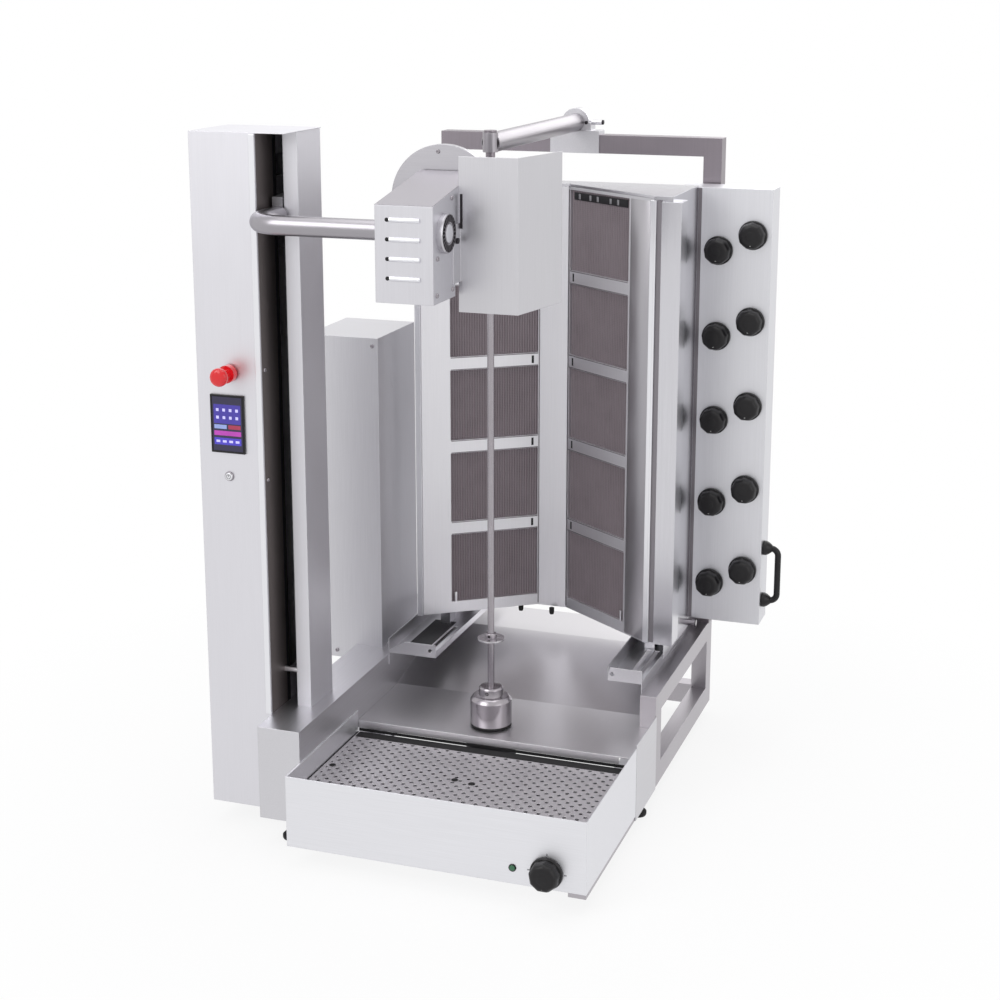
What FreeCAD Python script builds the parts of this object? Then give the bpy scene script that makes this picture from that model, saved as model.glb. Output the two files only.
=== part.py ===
import FreeCAD, Part
import math
import os
import re
import Sketcher

# Automatic doner kebab grill: a gas burner cabinet with two upright burner rows in a V,
# a turning spit, and a cutting head that a lift column carries up and down.
# All sizes are millimetres. X runs to the right and Y to the back. Z is up.
# Places are counted from the lower right front corner of the drawer, then shifted by the datum.

doc = FreeCAD.newDocument("kebab_grill")
sheet = doc.addObject("Spreadsheet::Sheet", "Sizes")

SIZES = [
    # sheet metal and fits
    ("sheet_wall", 1.5), ("tube_wall", 2), ("seat_gap", 0.3), ("running_gap", 0.05),
    # heated drawer
    ("drawer_width", 525), ("drawer_depth", 301), ("drawer_height", 126),
    ("drawer_rear_height", 82), ("ledge_width", 3), ("plate_level", 87.5),
    ("plate_hole", 5), ("plate_pitch", 30), ("lamp_inset", 124), ("lamp_height", 28),
    ("lamp_diameter", 10), ("heat_knob_inset", 66), ("heat_knob_height", 29),
    ("heat_knob_diameter", 55), ("heat_knob_depth", 27.5), ("heater_diameter", 8),
    ("heater_height", 55), ("heater_inset", 60), ("heater_run_spacing", 180),
    # telescopic runners
    ("runner_width", 12), ("runner_height", 18), ("runner_length", 299), ("runner_inset", 10),
    ("channel_length", 290),
    # right side frame and feet
    ("rail_width", 30), ("rail_height", 40), ("frame_low", -10), ("frame_rear", 888),
    ("top_rail_base", 131), ("top_rail_height", 36), ("post_front", 440),
    ("foot_diameter", 30), ("floor_level", -37), ("panel_top", 131),
    # console under the column
    ("console_width", 78), ("console_front", 57.5), ("console_base", 14), ("console_top", 181),
    # floor plate
    ("floor_top", 106.5), ("floor_flat", 191), ("floor_slope", 235), ("floor_rise", 49),
    ("lip_drop", 14),
    # lift column
    ("column_width", 118.7), ("column_front", 113), ("column_depth", 142), ("column_base", 4),
    ("column_top", 1180), ("slot_width", 25), ("upright_width", 26), ("upright_front", 165),
    ("tie_rod_diameter", 10), ("tie_rod_height", 245), ("rod_diameter", 16),
    ("screw_diameter", 18), ("rod_spacing", 66), ("carriage_height", 120), ("motor_top", 110),
    ("opening_front", 190), ("opening_width", 55),
    # controls on the column
    ("screen_width", 62), ("screen_height", 100), ("screen_inset", 55), ("screen_level", 694),
    ("screen_depth", 4), ("stop_level", 782), ("stop_inset", 61.6), ("stop_diameter", 31),
    ("stop_depth", 15), ("stop_travel", 4), ("stop_stem", 16), ("stop_out", 33),
    ("stop_collar", 30), ("stop_collar_depth", 12), ("start_level", 603),
    ("start_inset", 54), ("start_diameter", 16), ("start_depth", 5),
    # cutter arm and head
    ("arm_diameter", 32), ("arm_bore", 29), ("arm_drop", 138), ("arm_reach", 68),
    ("arm_bend", 60), ("head_left", -347), ("head_width", 95), ("head_drop", 105),
    ("head_front_height", 150), ("head_depth", 94), ("neck_depth", 96), ("neck_drop", 30),
    ("roof_rise", 34), ("louvre_rise", 20), ("louvre_pitch", 30), ("louvre_width", 52),
    ("bearing_diameter", 62), ("bearing_depth", 10), ("blade_diameter", 168),
    ("blade_rise", 31), ("blade_side", 37), ("blade_gap", 2), ("guard_diameter", 180),
    ("guard_depth", 6), ("guard_rim", 12), ("spindle_diameter", 12), ("spindle_reach", 38),
    ("spindle_nose", 10), ("blade_motor_diameter", 58), ("blade_motor_length", 84),
    # bent shield beside the blade
    ("shield_width", 98), ("shield_depth", 137), ("shield_splay", 28), ("shield_front", 110),
    ("shield_drop", 133), ("shield_height", 244), ("bracket_drop", 84),
    ("bracket_height", 92), ("bracket_length", 30),
    # spit
    ("spit_inset", 289), ("spit_back", 364), ("spit_diameter", 12), ("spit_drop", 62),
    ("hub_diameter", 74.7), ("hub_height", 57), ("collar_diameter", 44), ("collar_height", 17.5),
    ("disc_level", 270), ("disc_diameter", 48.5), ("shaft_diameter", 20),
    ("spit_motor_diameter", 90), ("spit_motor_height", 68), ("pin_tip", 6),
    # burner cabinet
    ("v_run", 201), ("v_rise", 144.5), ("apex_width", 56), ("burner_depth", 192),
    ("burner_set_in", 113), ("burner_base", 213), ("burner_top", 1043), ("cover_height", 5),
    ("frame_thickness", 8), ("strip_width", 69), ("window_width", 175), ("window_count", 5),
    ("window_height", 136.6), ("top_extra", 15), ("bar_height", 26), ("low_bar", 22),
    ("plaque_depth", 12), ("groove_width", 35), ("corner_width", 36), ("corner_depth", 46),
    ("corner_out", 15),
    # control box, knobs and handle
    ("box_right", 115), ("box_depth", 65), ("box_base", 204), ("box_top", 1045),
    ("knob_diameter", 54), ("knob_depth", 27.5), ("stem_diameter", 8), ("knob_left", 16),
    ("knob_right", 80), ("left_knob_low", 281), ("right_knob_low", 312), ("knob_pitch", 162),
    ("handle_out", 35), ("handle_low", 249), ("handle_high", 354), ("handle_bar", 12),
    ("handle_corner", 14), ("pipe_diameter", 21), ("inlet_diameter", 21),
    ("inlet_length", 24), ("inlet_level", 400),
    # burner rails and rollers
    ("rail_front", 451), ("rail_plate_height", 25), ("left_rail_width", 95),
    ("right_rail_width", 64), ("channel_base", 184), ("channel_flange", 28),
    ("left_inner_flange", 12), ("right_outer_flange", 5), ("rail_slot_width", 9),
    ("rail_slot_length", 150),
    ("roller_diameter", 24), ("roller_width", 16), ("axle_diameter", 12), ("roller_set_in", 10),
    # mast and top arm
    ("mast_tube", 35), ("mast_drop", 51), ("top_arm_diameter", 34), ("top_arm_rise", 23),
    ("boss_diameter", 26), ("boss_drop", 15), ("pin_diameter", 16), ("cap_diameter", 22),
    ("cap_height", 3), ("jaw_height", 24), ("clamp_width", 98), ("clamp_ring", 54),
    ("clamp_plate", 3), ("clamp_drop", 35),
    # electrical cabinet
    ("cabinet_width", 141), ("cabinet_depth", 180), ("cabinet_front", 478), ("cabinet_top", 780),
    ("cabinet_skirt", 29), ("cabinet_set_in", 24), ("gland_diameter", 20), ("gland_bore", 12),
    ("gland_level", 230),
]
# Levels and depths that follow from the sizes above.
FOLLOWING = [
    ("arm_level", "column_top - arm_drop"), ("head_base", "arm_level - head_drop"),
    ("neck_base", "arm_level - neck_drop"), ("blade_level", "arm_level + blade_rise"),
    ("shield_base", "arm_level - shield_drop"), ("bracket_base", "arm_level - bracket_drop"),
    ("spit_top", "column_top - spit_drop"), ("mast_top", "column_top - mast_drop"),
    ("top_arm_level", "mast_top + top_arm_rise"), ("boss_base", "top_arm_level - boss_drop"),
    ("floor_back", "frame_rear - mast_tube"), ("burner_back", "frame_rear - burner_set_in"),
    ("burner_front", "burner_back - burner_depth"),
    ("roller_back", "burner_back - roller_set_in"),
]
CELLS = SIZES + [(alias, "=" + formula) for alias, formula in FOLLOWING]
for row, (alias, content) in enumerate(CELLS, start=1):
    sheet.set("A%d" % row, alias)
    sheet.set("B%d" % row, str(content))
    sheet.setAlias("B%d" % row, alias)
doc.recompute()
NAMES = {alias for alias, content in CELLS}

# Places that many pieces share, worked out from the sizes.
CONSOLE_RIGHT = "-drawer_width"
CONSOLE_LEFT = "(-drawer_width - console_width)"
COLUMN_RIGHT = "(-drawer_width - console_width - seat_gap)"
COLUMN_LEFT = "(-drawer_width - console_width - seat_gap - column_width)"
COLUMN_BACK = "(column_front + column_depth)"
UPRIGHT_LEFT = "(-drawer_width - console_width + slot_width)"
ARM_X = "(-drawer_width - console_width + arm_diameter/2 + 0.5)"
ARM_Y = "(column_front - arm_reach)"
FRAME_RIGHT = "(-sheet_wall - seat_gap)"
SPIT_X = "-spit_inset"
V_LEFT = "(-spit_inset - v_run - apex_width/2)"
V_RIGHT = "(-spit_inset + v_run + apex_width/2)"
SIDE_X = "(-spit_inset + v_run + apex_width/2 + groove_width)"
HANDLE_TIP = "(box_right + handle_out)"
KNOB_TIP = "(-heat_knob_depth - seat_gap)"
DATUM = (
    "-(%s + %s)/2" % (COLUMN_LEFT, HANDLE_TIP),
    "-(%s + frame_rear)/2" % KNOB_TIP,
    "-floor_level",
)


def cell(expression):
    """Point each size name in an expression at its spreadsheet cell."""
    word = re.compile(r"[a-z][a-z_]+")
    return word.sub(lambda m: "Sizes." + m.group(0) if m.group(0) in NAMES else m.group(0),
                    str(expression))


def bind(item, **expressions):
    for name, expression in expressions.items():
        item.setExpression(name, cell(expression))
    return item


def place(item, x, y, z, rotation=None):
    """Put an object at a place given by expressions, counted from the object's datum."""
    if rotation is not None:
        item.Placement = FreeCAD.Placement(FreeCAD.Vector(), rotation)
    for name, expression in zip("xyz", (x, y, z)):
        item.setExpression("Placement.Base." + name, cell(expression))
    return item


def turned(axis, angle):
    return FreeCAD.Rotation(FreeCAD.Vector(*axis), angle)


def new(kind, label="piece"):
    item = doc.addObject(kind, label)
    item.Label = label
    return item


def box(x, y, z, length, width, height):
    """A block by its lowest corner and its sizes along X, Y and Z."""
    item = bind(new("Part::Box"), Length=length, Width=width, Height=height)
    return place(item, x, y, z)


AXES = {"x": turned((0, 1, 0), 90), "y": turned((1, 0, 0), -90), "z": turned((0, 0, 1), 0)}


def rod(axis, x, y, z, diameter, length):
    """A round bar that starts at a place and runs along X, Y or Z."""
    item = bind(new("Part::Cylinder"), Radius="(%s)/2" % diameter, Height=length)
    return place(item, x, y, z, AXES[axis])


def bend(x, y, z, radius, diameter, rotation):
    """A quarter turn of round bar about a centre."""
    item = new("Part::Torus")
    item.Angle3 = 90
    bind(item, Radius1=radius, Radius2="(%s)/2" % diameter)
    return place(item, x, y, z, rotation)


def fuse(*pieces):
    if len(pieces) == 1:
        return pieces[0]
    item = new("Part::MultiFuse")
    item.Shapes = list(pieces)
    return item


def cut(base, *tools):
    item = new("Part::Cut")
    item.Base = base
    item.Tool = fuse(*tools)
    return item


def hollow(x, y, z, length, width, height, wall="sheet_wall"):
    """A closed sheet metal box with an even wall."""
    inner = box("%s + %s" % (x, wall), "%s + %s" % (y, wall), "%s + %s" % (z, wall),
                "%s - 2*%s" % (length, wall), "%s - 2*%s" % (width, wall),
                "%s - 2*%s" % (height, wall))
    return cut(box(x, y, z, length, width, height), inner)


def plane_of(body, role):
    return [item for item in body.Origin.OriginFeatures if item.Role == role][0]


def outline(body, role, corners):
    """A closed sketch of straight lines whose corners are held by expressions."""
    sketch = body.newObject("Sketcher::SketchObject", "outline")
    sketch.AttachmentSupport = [(plane_of(body, role), "")]
    sketch.MapMode = "FlatFace"
    count = len(corners)
    for number in range(count):
        # the rough start points lie on a circle, and the constraints then pull them into place
        ends = [FreeCAD.Vector(10 * math.cos(turn), 10 * math.sin(turn), 0)
                for turn in (2 * math.pi * number / count, 2 * math.pi * (number + 1) / count)]
        sketch.addGeometry(Part.LineSegment(*ends), False)
    for number in range(count):
        follower = (number + 1) % count
        sketch.addConstraint(Sketcher.Constraint("Coincident", number, 2, follower, 1))
    for number, corner in enumerate(corners):
        for kind, expression in zip(("DistanceX", "DistanceY"), corner):
            index = sketch.addConstraint(Sketcher.Constraint(kind, -1, 1, number, 1, 1.0))
            sketch.setExpression("Constraints[%d]" % index, cell(expression))
    return sketch


def pad(role, corners, length, x, y, z):
    """A body padded from an outline on one of its origin planes."""
    body = new("PartDesign::Body")
    sketch = outline(body, role, corners)
    feature = body.newObject("PartDesign::Pad", "pad")
    feature.Profile = sketch
    bind(feature, Length=length)
    return place(body, x, y, z)


def revolve(corners, x, y, z, rotation=None):
    """A turned body about its Z axis, from a radius and height outline."""
    body = new("PartDesign::Body")
    sketch = outline(body, "XZ_Plane", corners)
    feature = body.newObject("PartDesign::Revolution", "turning")
    feature.Profile = sketch
    feature.ReferenceAxis = (sketch, ["V_Axis"])
    feature.Angle = 360
    return place(body, x, y, z, rotation)


NODES = []


def node(name, item):
    """Name a finished piece and shift it to the datum."""
    item.Label = name
    old = dict(item.ExpressionEngine)
    for axis, shift in zip("xyz", DATUM):
        key = "Placement.Base." + axis
        start = old.get(key) or old.get("." + key) or "0"
        item.setExpression(key, "%s + (%s)" % (start, cell(shift)))
    NODES.append(item)
    return item


def make_side_frame():
    """Welded box tube frame on the right, with the cross members under the floor."""
    left = "(%s - rail_width)" % FRAME_RIGHT
    start = "(drawer_depth + 3)"
    run = "(frame_rear - drawer_depth - 3)"

    def tubes(wall):
        size = "2*%s" % wall
        return [
            box("%s + %s" % (left, wall), "%s + %s" % (start, wall), "frame_low + %s" % wall,
                "rail_width - " + size, "%s - %s" % (run, size), "rail_height - " + size),
            box("%s + %s" % (left, wall), "post_front + %s" % wall, "top_rail_base + %s" % wall,
                "rail_width - " + size, "frame_rear - post_front - " + size,
                "top_rail_height - " + size),
            box("%s + %s" % (left, wall), "post_front + %s" % wall, "frame_low + %s" % wall,
                "rail_width - " + size, "rail_height - " + size,
                "top_rail_base + top_rail_height - frame_low - " + size),
            box("%s + %s" % (left, wall), "frame_rear - rail_height + %s" % wall,
                "frame_low + %s" % wall, "rail_width - " + size, "rail_height - " + size,
                "top_rail_base + top_rail_height - frame_low - " + size),
            box("%s + %s" % (CONSOLE_RIGHT, wall), "frame_rear - rail_width + %s" % wall,
                "frame_low + %s" % wall, "drawer_width + %s - rail_width/2" % FRAME_RIGHT,
                "rail_width - " + size, "rail_height - " + size),
            box("%s + %s" % (CONSOLE_RIGHT, wall), "%s + %s" % (start, wall),
                "frame_low + %s" % wall, "drawer_width + %s - rail_width/2" % FRAME_RIGHT,
                "rail_width - " + size, "rail_height - " + size),
        ]
    front_bar = box(left, "5", "frame_low", "rail_width", "drawer_depth + 3",
                    "-frame_low - seat_gap")
    frame = fuse(cut(fuse(*tubes("0")), *tubes("tube_wall")), front_bar)
    return node("side_frame", frame)


def make_console_box():
    shell = hollow(CONSOLE_LEFT, "console_front", "console_base", "console_width",
                   "frame_rear - console_front", "console_top - console_base")
    return node("console_box", shell)


def make_side_panel():
    panel = box("-sheet_wall", "drawer_depth + 2", "frame_low", "sheet_wall",
                "post_front - drawer_depth - 2", "panel_top - frame_low")
    return node("side_panel", panel)


def make_floor_plate():
    """Pressed floor under the spit: a front lip, a flat, a slope and a raised back."""
    low = "floor_top - sheet_wall"
    front = "(drawer_depth + 1)"
    fold = "(%s + floor_flat)" % front
    rise = "(%s + floor_slope)" % fold
    corners = [
        (front, "floor_top"), (fold, "floor_top"), (rise, "floor_top + floor_rise"),
        ("floor_back", "floor_top + floor_rise"),
        ("floor_back", "floor_top + floor_rise - sheet_wall"),
        (rise, "floor_top + floor_rise - sheet_wall"), (fold, low),
        ("%s + sheet_wall" % front, low), ("%s + sheet_wall" % front, "floor_top - lip_drop"),
        (front, "floor_top - lip_drop"),
    ]
    sheet_left = "%s + seat_gap" % CONSOLE_RIGHT
    width = "(drawer_width - 3*seat_gap - rail_width + %s)" % FRAME_RIGHT
    plate = pad("YZ_Plane", corners, width, sheet_left, "0", "0")
    apron_left = "(%s + %s)" % (sheet_left, width)
    apron_front = box(apron_left, front, "floor_top - sheet_wall",
                      "-(%s) - sheet_wall - seat_gap" % apron_left,
                      "post_front - seat_gap - drawer_depth - 1", "sheet_wall")
    hole = rod("z", SPIT_X, "spit_back", "floor_top - 2*sheet_wall", "shaft_diameter + 3",
               "4*sheet_wall")
    return node("floor_plate", cut(fuse(plate, apron_front), hole))


def make_feet():
    """Four rubber feet; the front left one stands further forward, under the console."""
    frame_x = "%s - rail_width/2" % FRAME_RIGHT
    console_x = "%s + console_width/2" % CONSOLE_LEFT
    places = [
        (frame_x, "drawer_depth + 3 + rail_height*2", "frame_low"),
        ("%s - 1.3*rail_width" % FRAME_RIGHT, "frame_rear - rail_width/2", "frame_low"),
        (console_x, "console_front + rail_height", "console_base"),
        (console_x, "frame_rear - rail_height/2", "console_base"),
    ]
    feet = [rod("z", x, y, "floor_level", "foot_diameter", "%s - floor_level" % top)
            for x, y, top in places]
    return node("feet", fuse(*feet))


def make_drawer():
    """Heated drawer: folded box, perforated plate, heater, thermostat knob, lamp, runners."""
    left = CONSOLE_RIGHT
    ledge = "(plate_level - 2*sheet_wall)"
    inside = "drawer_width - 2*sheet_wall"
    depth = "drawer_depth - 2*sheet_wall"
    shell = cut(
        box(left, "0", "0", "drawer_width", "drawer_depth", "drawer_height"),
        box("%s + sheet_wall" % left, "sheet_wall", "sheet_wall", inside, depth, "drawer_height"),
        box("%s + sheet_wall" % left, "drawer_depth - 2*sheet_wall", "drawer_rear_height",
            inside, "3*sheet_wall", "drawer_height"),
        rod("y", "-heat_knob_inset", "-1", "heat_knob_height", "stem_diameter + 2*running_gap",
            "sheet_wall + 2"),
        rod("y", "-lamp_inset", "-1", "lamp_height", "lamp_diameter + 2*running_gap",
            "sheet_wall + 2"))
    flange = box("%s + sheet_wall" % left, "sheet_wall", "drawer_height - sheet_wall",
                 "ledge_width - sheet_wall", depth, "sheet_wall")
    ledges = [box(x, "sheet_wall", "%s - sheet_wall" % ledge, "2*ledge_width", depth,
                  "sheet_wall")
              for x in ("%s + sheet_wall" % left, "-sheet_wall - 2*ledge_width")]
    node("drawer_body", fuse(shell, flange, *ledges))

    plate_left = "%s + ledge_width + 1" % left
    plate_width = "drawer_width - ledge_width - sheet_wall - 2"
    plate_depth = "drawer_depth - 3*sheet_wall - 1"
    plate = box(plate_left, "sheet_wall + 1", "plate_level - 2*sheet_wall + seat_gap",
                plate_width, plate_depth, "sheet_wall")
    pitch = sheet.get("plate_pitch")
    across = int((sheet.get("drawer_width") - 60) // pitch) + 1
    deep = int((sheet.get("drawer_depth") - 50) // pitch) + 1
    holes = [Part.makeCylinder(sheet.get("plate_hole") / 2, 10 * sheet.get("sheet_wall"),
                               FreeCAD.Vector(column * pitch, line * pitch, 0))
             for column in range(across) for line in range(deep)]
    punched = new("Part::Feature")
    punched.Shape = Part.makeCompound(holes)
    place(punched, "%s + drawer_width/2 - %s" % (left, (across - 1) * pitch / 2),
          "drawer_depth/2 - %s" % ((deep - 1) * pitch / 2), "plate_level - 8*sheet_wall")
    node("perforated_plate", cut(plate, punched))

    near = "drawer_depth/2 - heater_run_spacing/2"
    far = "drawer_depth/2 + heater_run_spacing/2"
    run = "(drawer_width - 2*heater_inset - heater_run_spacing/2)"
    turn_x = "%s + heater_inset + %s" % (left, run)
    heater = fuse(
        rod("x", "%s + heater_inset" % left, near, "heater_height", "heater_diameter", run),
        rod("x", "%s + heater_inset" % left, far, "heater_height", "heater_diameter", run),
        bend(turn_x, "drawer_depth/2", "heater_height", "heater_run_spacing/2",
             "heater_diameter", turned((0, 0, 1), 0)),
        bend(turn_x, "drawer_depth/2", "heater_height", "heater_run_spacing/2",
             "heater_diameter", turned((0, 0, 1), -90)))
    legs = [box("%s + heater_inset + %s" % (left, offset), "%s - heater_diameter/2" % y,
                "sheet_wall", "heater_diameter", "heater_diameter", "heater_height - sheet_wall")
            for offset in ("15", "%s - 15" % run) for y in (near, far)]
    node("heating_element", fuse(heater, *legs))

    knob("heat_thermostat_knob", "-heat_knob_inset", "0", "heat_knob_height",
         "heat_knob_diameter", "heat_knob_depth")
    lamp = fuse(
        rod("y", "-lamp_inset", "-3", "lamp_height", "lamp_diameter + 3", "3 - running_gap"),
        rod("y", "-lamp_inset", "-3", "lamp_height", "lamp_diameter", "20"))
    node("pilot_lamp", lamp)

    base = "(rail_height + frame_low + seat_gap + sheet_wall + 2)"
    rails_x = ["%s + runner_inset" % left,
               "%s - rail_width - runner_inset - runner_width" % FRAME_RIGHT]
    node("drawer_runners", fuse(*[
        box(x, "drawer_depth", base, "runner_width", "runner_length", "runner_height")
        for x in rails_x]))
    return rails_x, base


def make_runner_channels(rails_x, base):
    """Fixed C channels that the drawer's rails slide in, standing on the front cross member."""
    pieces = []
    for x, outward in zip(rails_x, (-1, 1)):
        outer = box("%s - 2 - sheet_wall" % x, "drawer_depth + 4", "%s - 2 - sheet_wall" % base,
                    "runner_width + 2*sheet_wall + 4", "channel_length",
                    "runner_height + 2*sheet_wall + 4")
        room = box("%s - 2" % x, "drawer_depth", "%s - 2" % base, "runner_width + 4",
                   "channel_length + 10", "runner_height + 4")
        mouth = box("%s - %s" % (x, "-4" if outward < 0 else "runner_width"),
                    "drawer_depth", "%s" % base,
                    "2*runner_width", "channel_length + 10", "runner_height")
        pieces.append(cut(outer, room, mouth))
    return node("runner_channels", fuse(*pieces))


def knob(name, x, y, z, diameter, depth):
    """Moulded round knob on its metal stem, turned about a line along Y."""
    radius = "%s/2" % diameter
    corners = [
        ("0", "0"), (radius, "0"), (radius, "5"), (radius + " - 2", "8"),
        (radius + " - 3", depth + " - 6"), (radius + " - 5", depth + " - 2"),
        (radius + " - 10", depth), ("0", depth),
    ]
    head = revolve(corners, x, "%s - seat_gap" % y, z, turned((1, 0, 0), 90))
    stem = rod("y", x, "%s - seat_gap" % y, z, "stem_diameter", "24")
    return node(name, fuse(head, stem))


def make_column():
    """Lift column: folded cover with slot, upright, cap, screw, guide rods and motor."""
    wall = "sheet_wall"
    height = "column_top - column_base"
    shell = hollow(COLUMN_LEFT, "column_front", "column_base", "column_width", "column_depth",
                   height)
    opening = box("%s - 3*sheet_wall" % COLUMN_RIGHT, "opening_front", "console_top + 60",
                  "6*sheet_wall", "opening_width", "column_top - console_top - 100")
    stop_hole = rod("y", "%s + stop_inset" % COLUMN_LEFT, "column_front - 2", "stop_level",
                    "stop_stem + 2*running_gap", "4*sheet_wall")
    start_hole = rod("y", "%s + start_inset" % COLUMN_LEFT, "column_front - 2", "start_level",
                     "start_diameter + 2*running_gap", "4*sheet_wall")
    cap = box(COLUMN_LEFT, "column_front", "column_top - %s" % wall,
              "column_width + seat_gap + slot_width + upright_width + 2", "column_depth", wall)
    node("column_cover", fuse(cut(shell, opening, stop_hole, start_hole), cap))

    upright_depth = "(%s - upright_front)" % COLUMN_BACK
    upright = hollow(UPRIGHT_LEFT, "upright_front", "console_top", "upright_width",
                     upright_depth, "column_top - sheet_wall - seat_gap - console_top",
                     "tube_wall")
    node("column_upright", upright)
    node("tie_rod", rod("x", COLUMN_RIGHT, "upright_front + 7", "tie_rod_height",
                        "tie_rod_diameter", "slot_width + seat_gap"))
    node("slot_back_panel", box("%s + sheet_wall" % CONSOLE_LEFT, "%s - 4" % COLUMN_BACK,
                                "console_top", "slot_width - sheet_wall - seat_gap", "2",
                                "column_top - sheet_wall - seat_gap - console_top"))

    middle = "(%s + column_width/2)" % COLUMN_LEFT
    rods_y = "(column_front + column_depth*2/3)"
    floor = "column_base + sheet_wall"
    reach = "column_top - column_base - 2*sheet_wall"
    rods = [rod("z", "%s %s rod_spacing/2" % (middle, sign), rods_y, floor, "rod_diameter",
                reach) for sign in "-+"]
    tie = box("%s - rod_spacing/2 - 12" % middle, "%s - 25" % rods_y, "column_top - 20",
              "rod_spacing + 24", "50", "10")
    screw_hole = rod("z", middle, rods_y, "column_top - 25", "screw_diameter + 2*running_gap",
                     "20")
    node("guide_rods", fuse(cut(tie, screw_hole), *rods))
    node("lead_screw", rod("z", middle, rods_y, "motor_top - 20", "screw_diameter",
                           "column_top + 8 - motor_top"))
    motor_side = "(rod_spacing - rod_diameter - 2)"
    motor = box("%s - (%s)/2" % (middle, motor_side), "%s - 32" % rods_y, floor,
                motor_side, "64", "motor_top - column_base - sheet_wall")
    node("lift_motor", cut(motor, rod("z", middle, rods_y, "motor_top - 20",
                                      "screw_diameter + 2*running_gap", "40")))

    block_base = "(arm_level - carriage_height/2)"
    block = box("%s + 8" % COLUMN_LEFT, "%s - 30" % rods_y, block_base, "column_width - 12",
                "60", "carriage_height")
    bores = [rod("z", x, rods_y, "%s - 1" % block_base, "%s + 2*running_gap" % size,
                 "carriage_height + 2")
             for x, size in (("%s - rod_spacing/2" % middle, "rod_diameter"),
                             ("%s + rod_spacing/2" % middle, "rod_diameter"),
                             (middle, "screw_diameter"))]
    tongue = box("%s - 10" % COLUMN_RIGHT, "opening_front + 5", "arm_level - 30",
                 "slot_width - 3", "opening_width - 10", "60")
    web = box("%s + 6" % COLUMN_RIGHT, "column_front + 47", "arm_level - 30",
              "slot_width - 7", "opening_front + opening_width - column_front - 52", "60")
    spigot = rod("y", ARM_X, "column_front + 7", "arm_level", "arm_bore - 2*running_gap", "45")
    node("carriage", fuse(cut(block, *bores), tongue, web, spigot))


def make_column_controls():
    """Emergency stop with its stem, touch screen and start button on the column's front."""
    stop_x = "%s + stop_inset" % COLUMN_LEFT
    front = "column_front"
    shank = "(%s - stop_out)" % front
    node("stop_stem", cut(
        fuse(rod("y", stop_x, shank, "stop_level", "stop_stem", "stop_out + 30"),
             rod("y", stop_x, "%s - stop_travel - seat_gap - stop_collar_depth" % front,
                 "stop_level", "stop_collar", "stop_collar_depth")),
        rod("y", stop_x, "%s - 1" % shank, "stop_level", "stop_stem/2 + 2*running_gap", "15")))
    mushroom = revolve(
        [("0", "0"), ("stop_diameter/2 - 2", "0"), ("stop_diameter/2", "3"),
         ("stop_diameter/2 - 1", "stop_depth - 5"), ("stop_diameter/2 - 6", "stop_depth - 1"),
         ("0", "stop_depth")],
        stop_x, "%s - seat_gap" % shank, "stop_level", turned((1, 0, 0), 90))
    pin = rod("y", stop_x, "%s - seat_gap" % shank, "stop_level", "stop_stem/2", "12")
    node("stop_button", fuse(mushroom, pin))
    node("touch_screen", box("%s + screen_inset - screen_width/2" % COLUMN_LEFT,
                             "%s - screen_depth" % front, "screen_level - screen_height/2",
                             "screen_width", "screen_depth", "screen_height"))
    node("start_button", rod("y", "%s + start_inset" % COLUMN_LEFT, "%s - start_depth" % front,
                             "start_level", "start_diameter", "start_depth + 12"))


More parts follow.
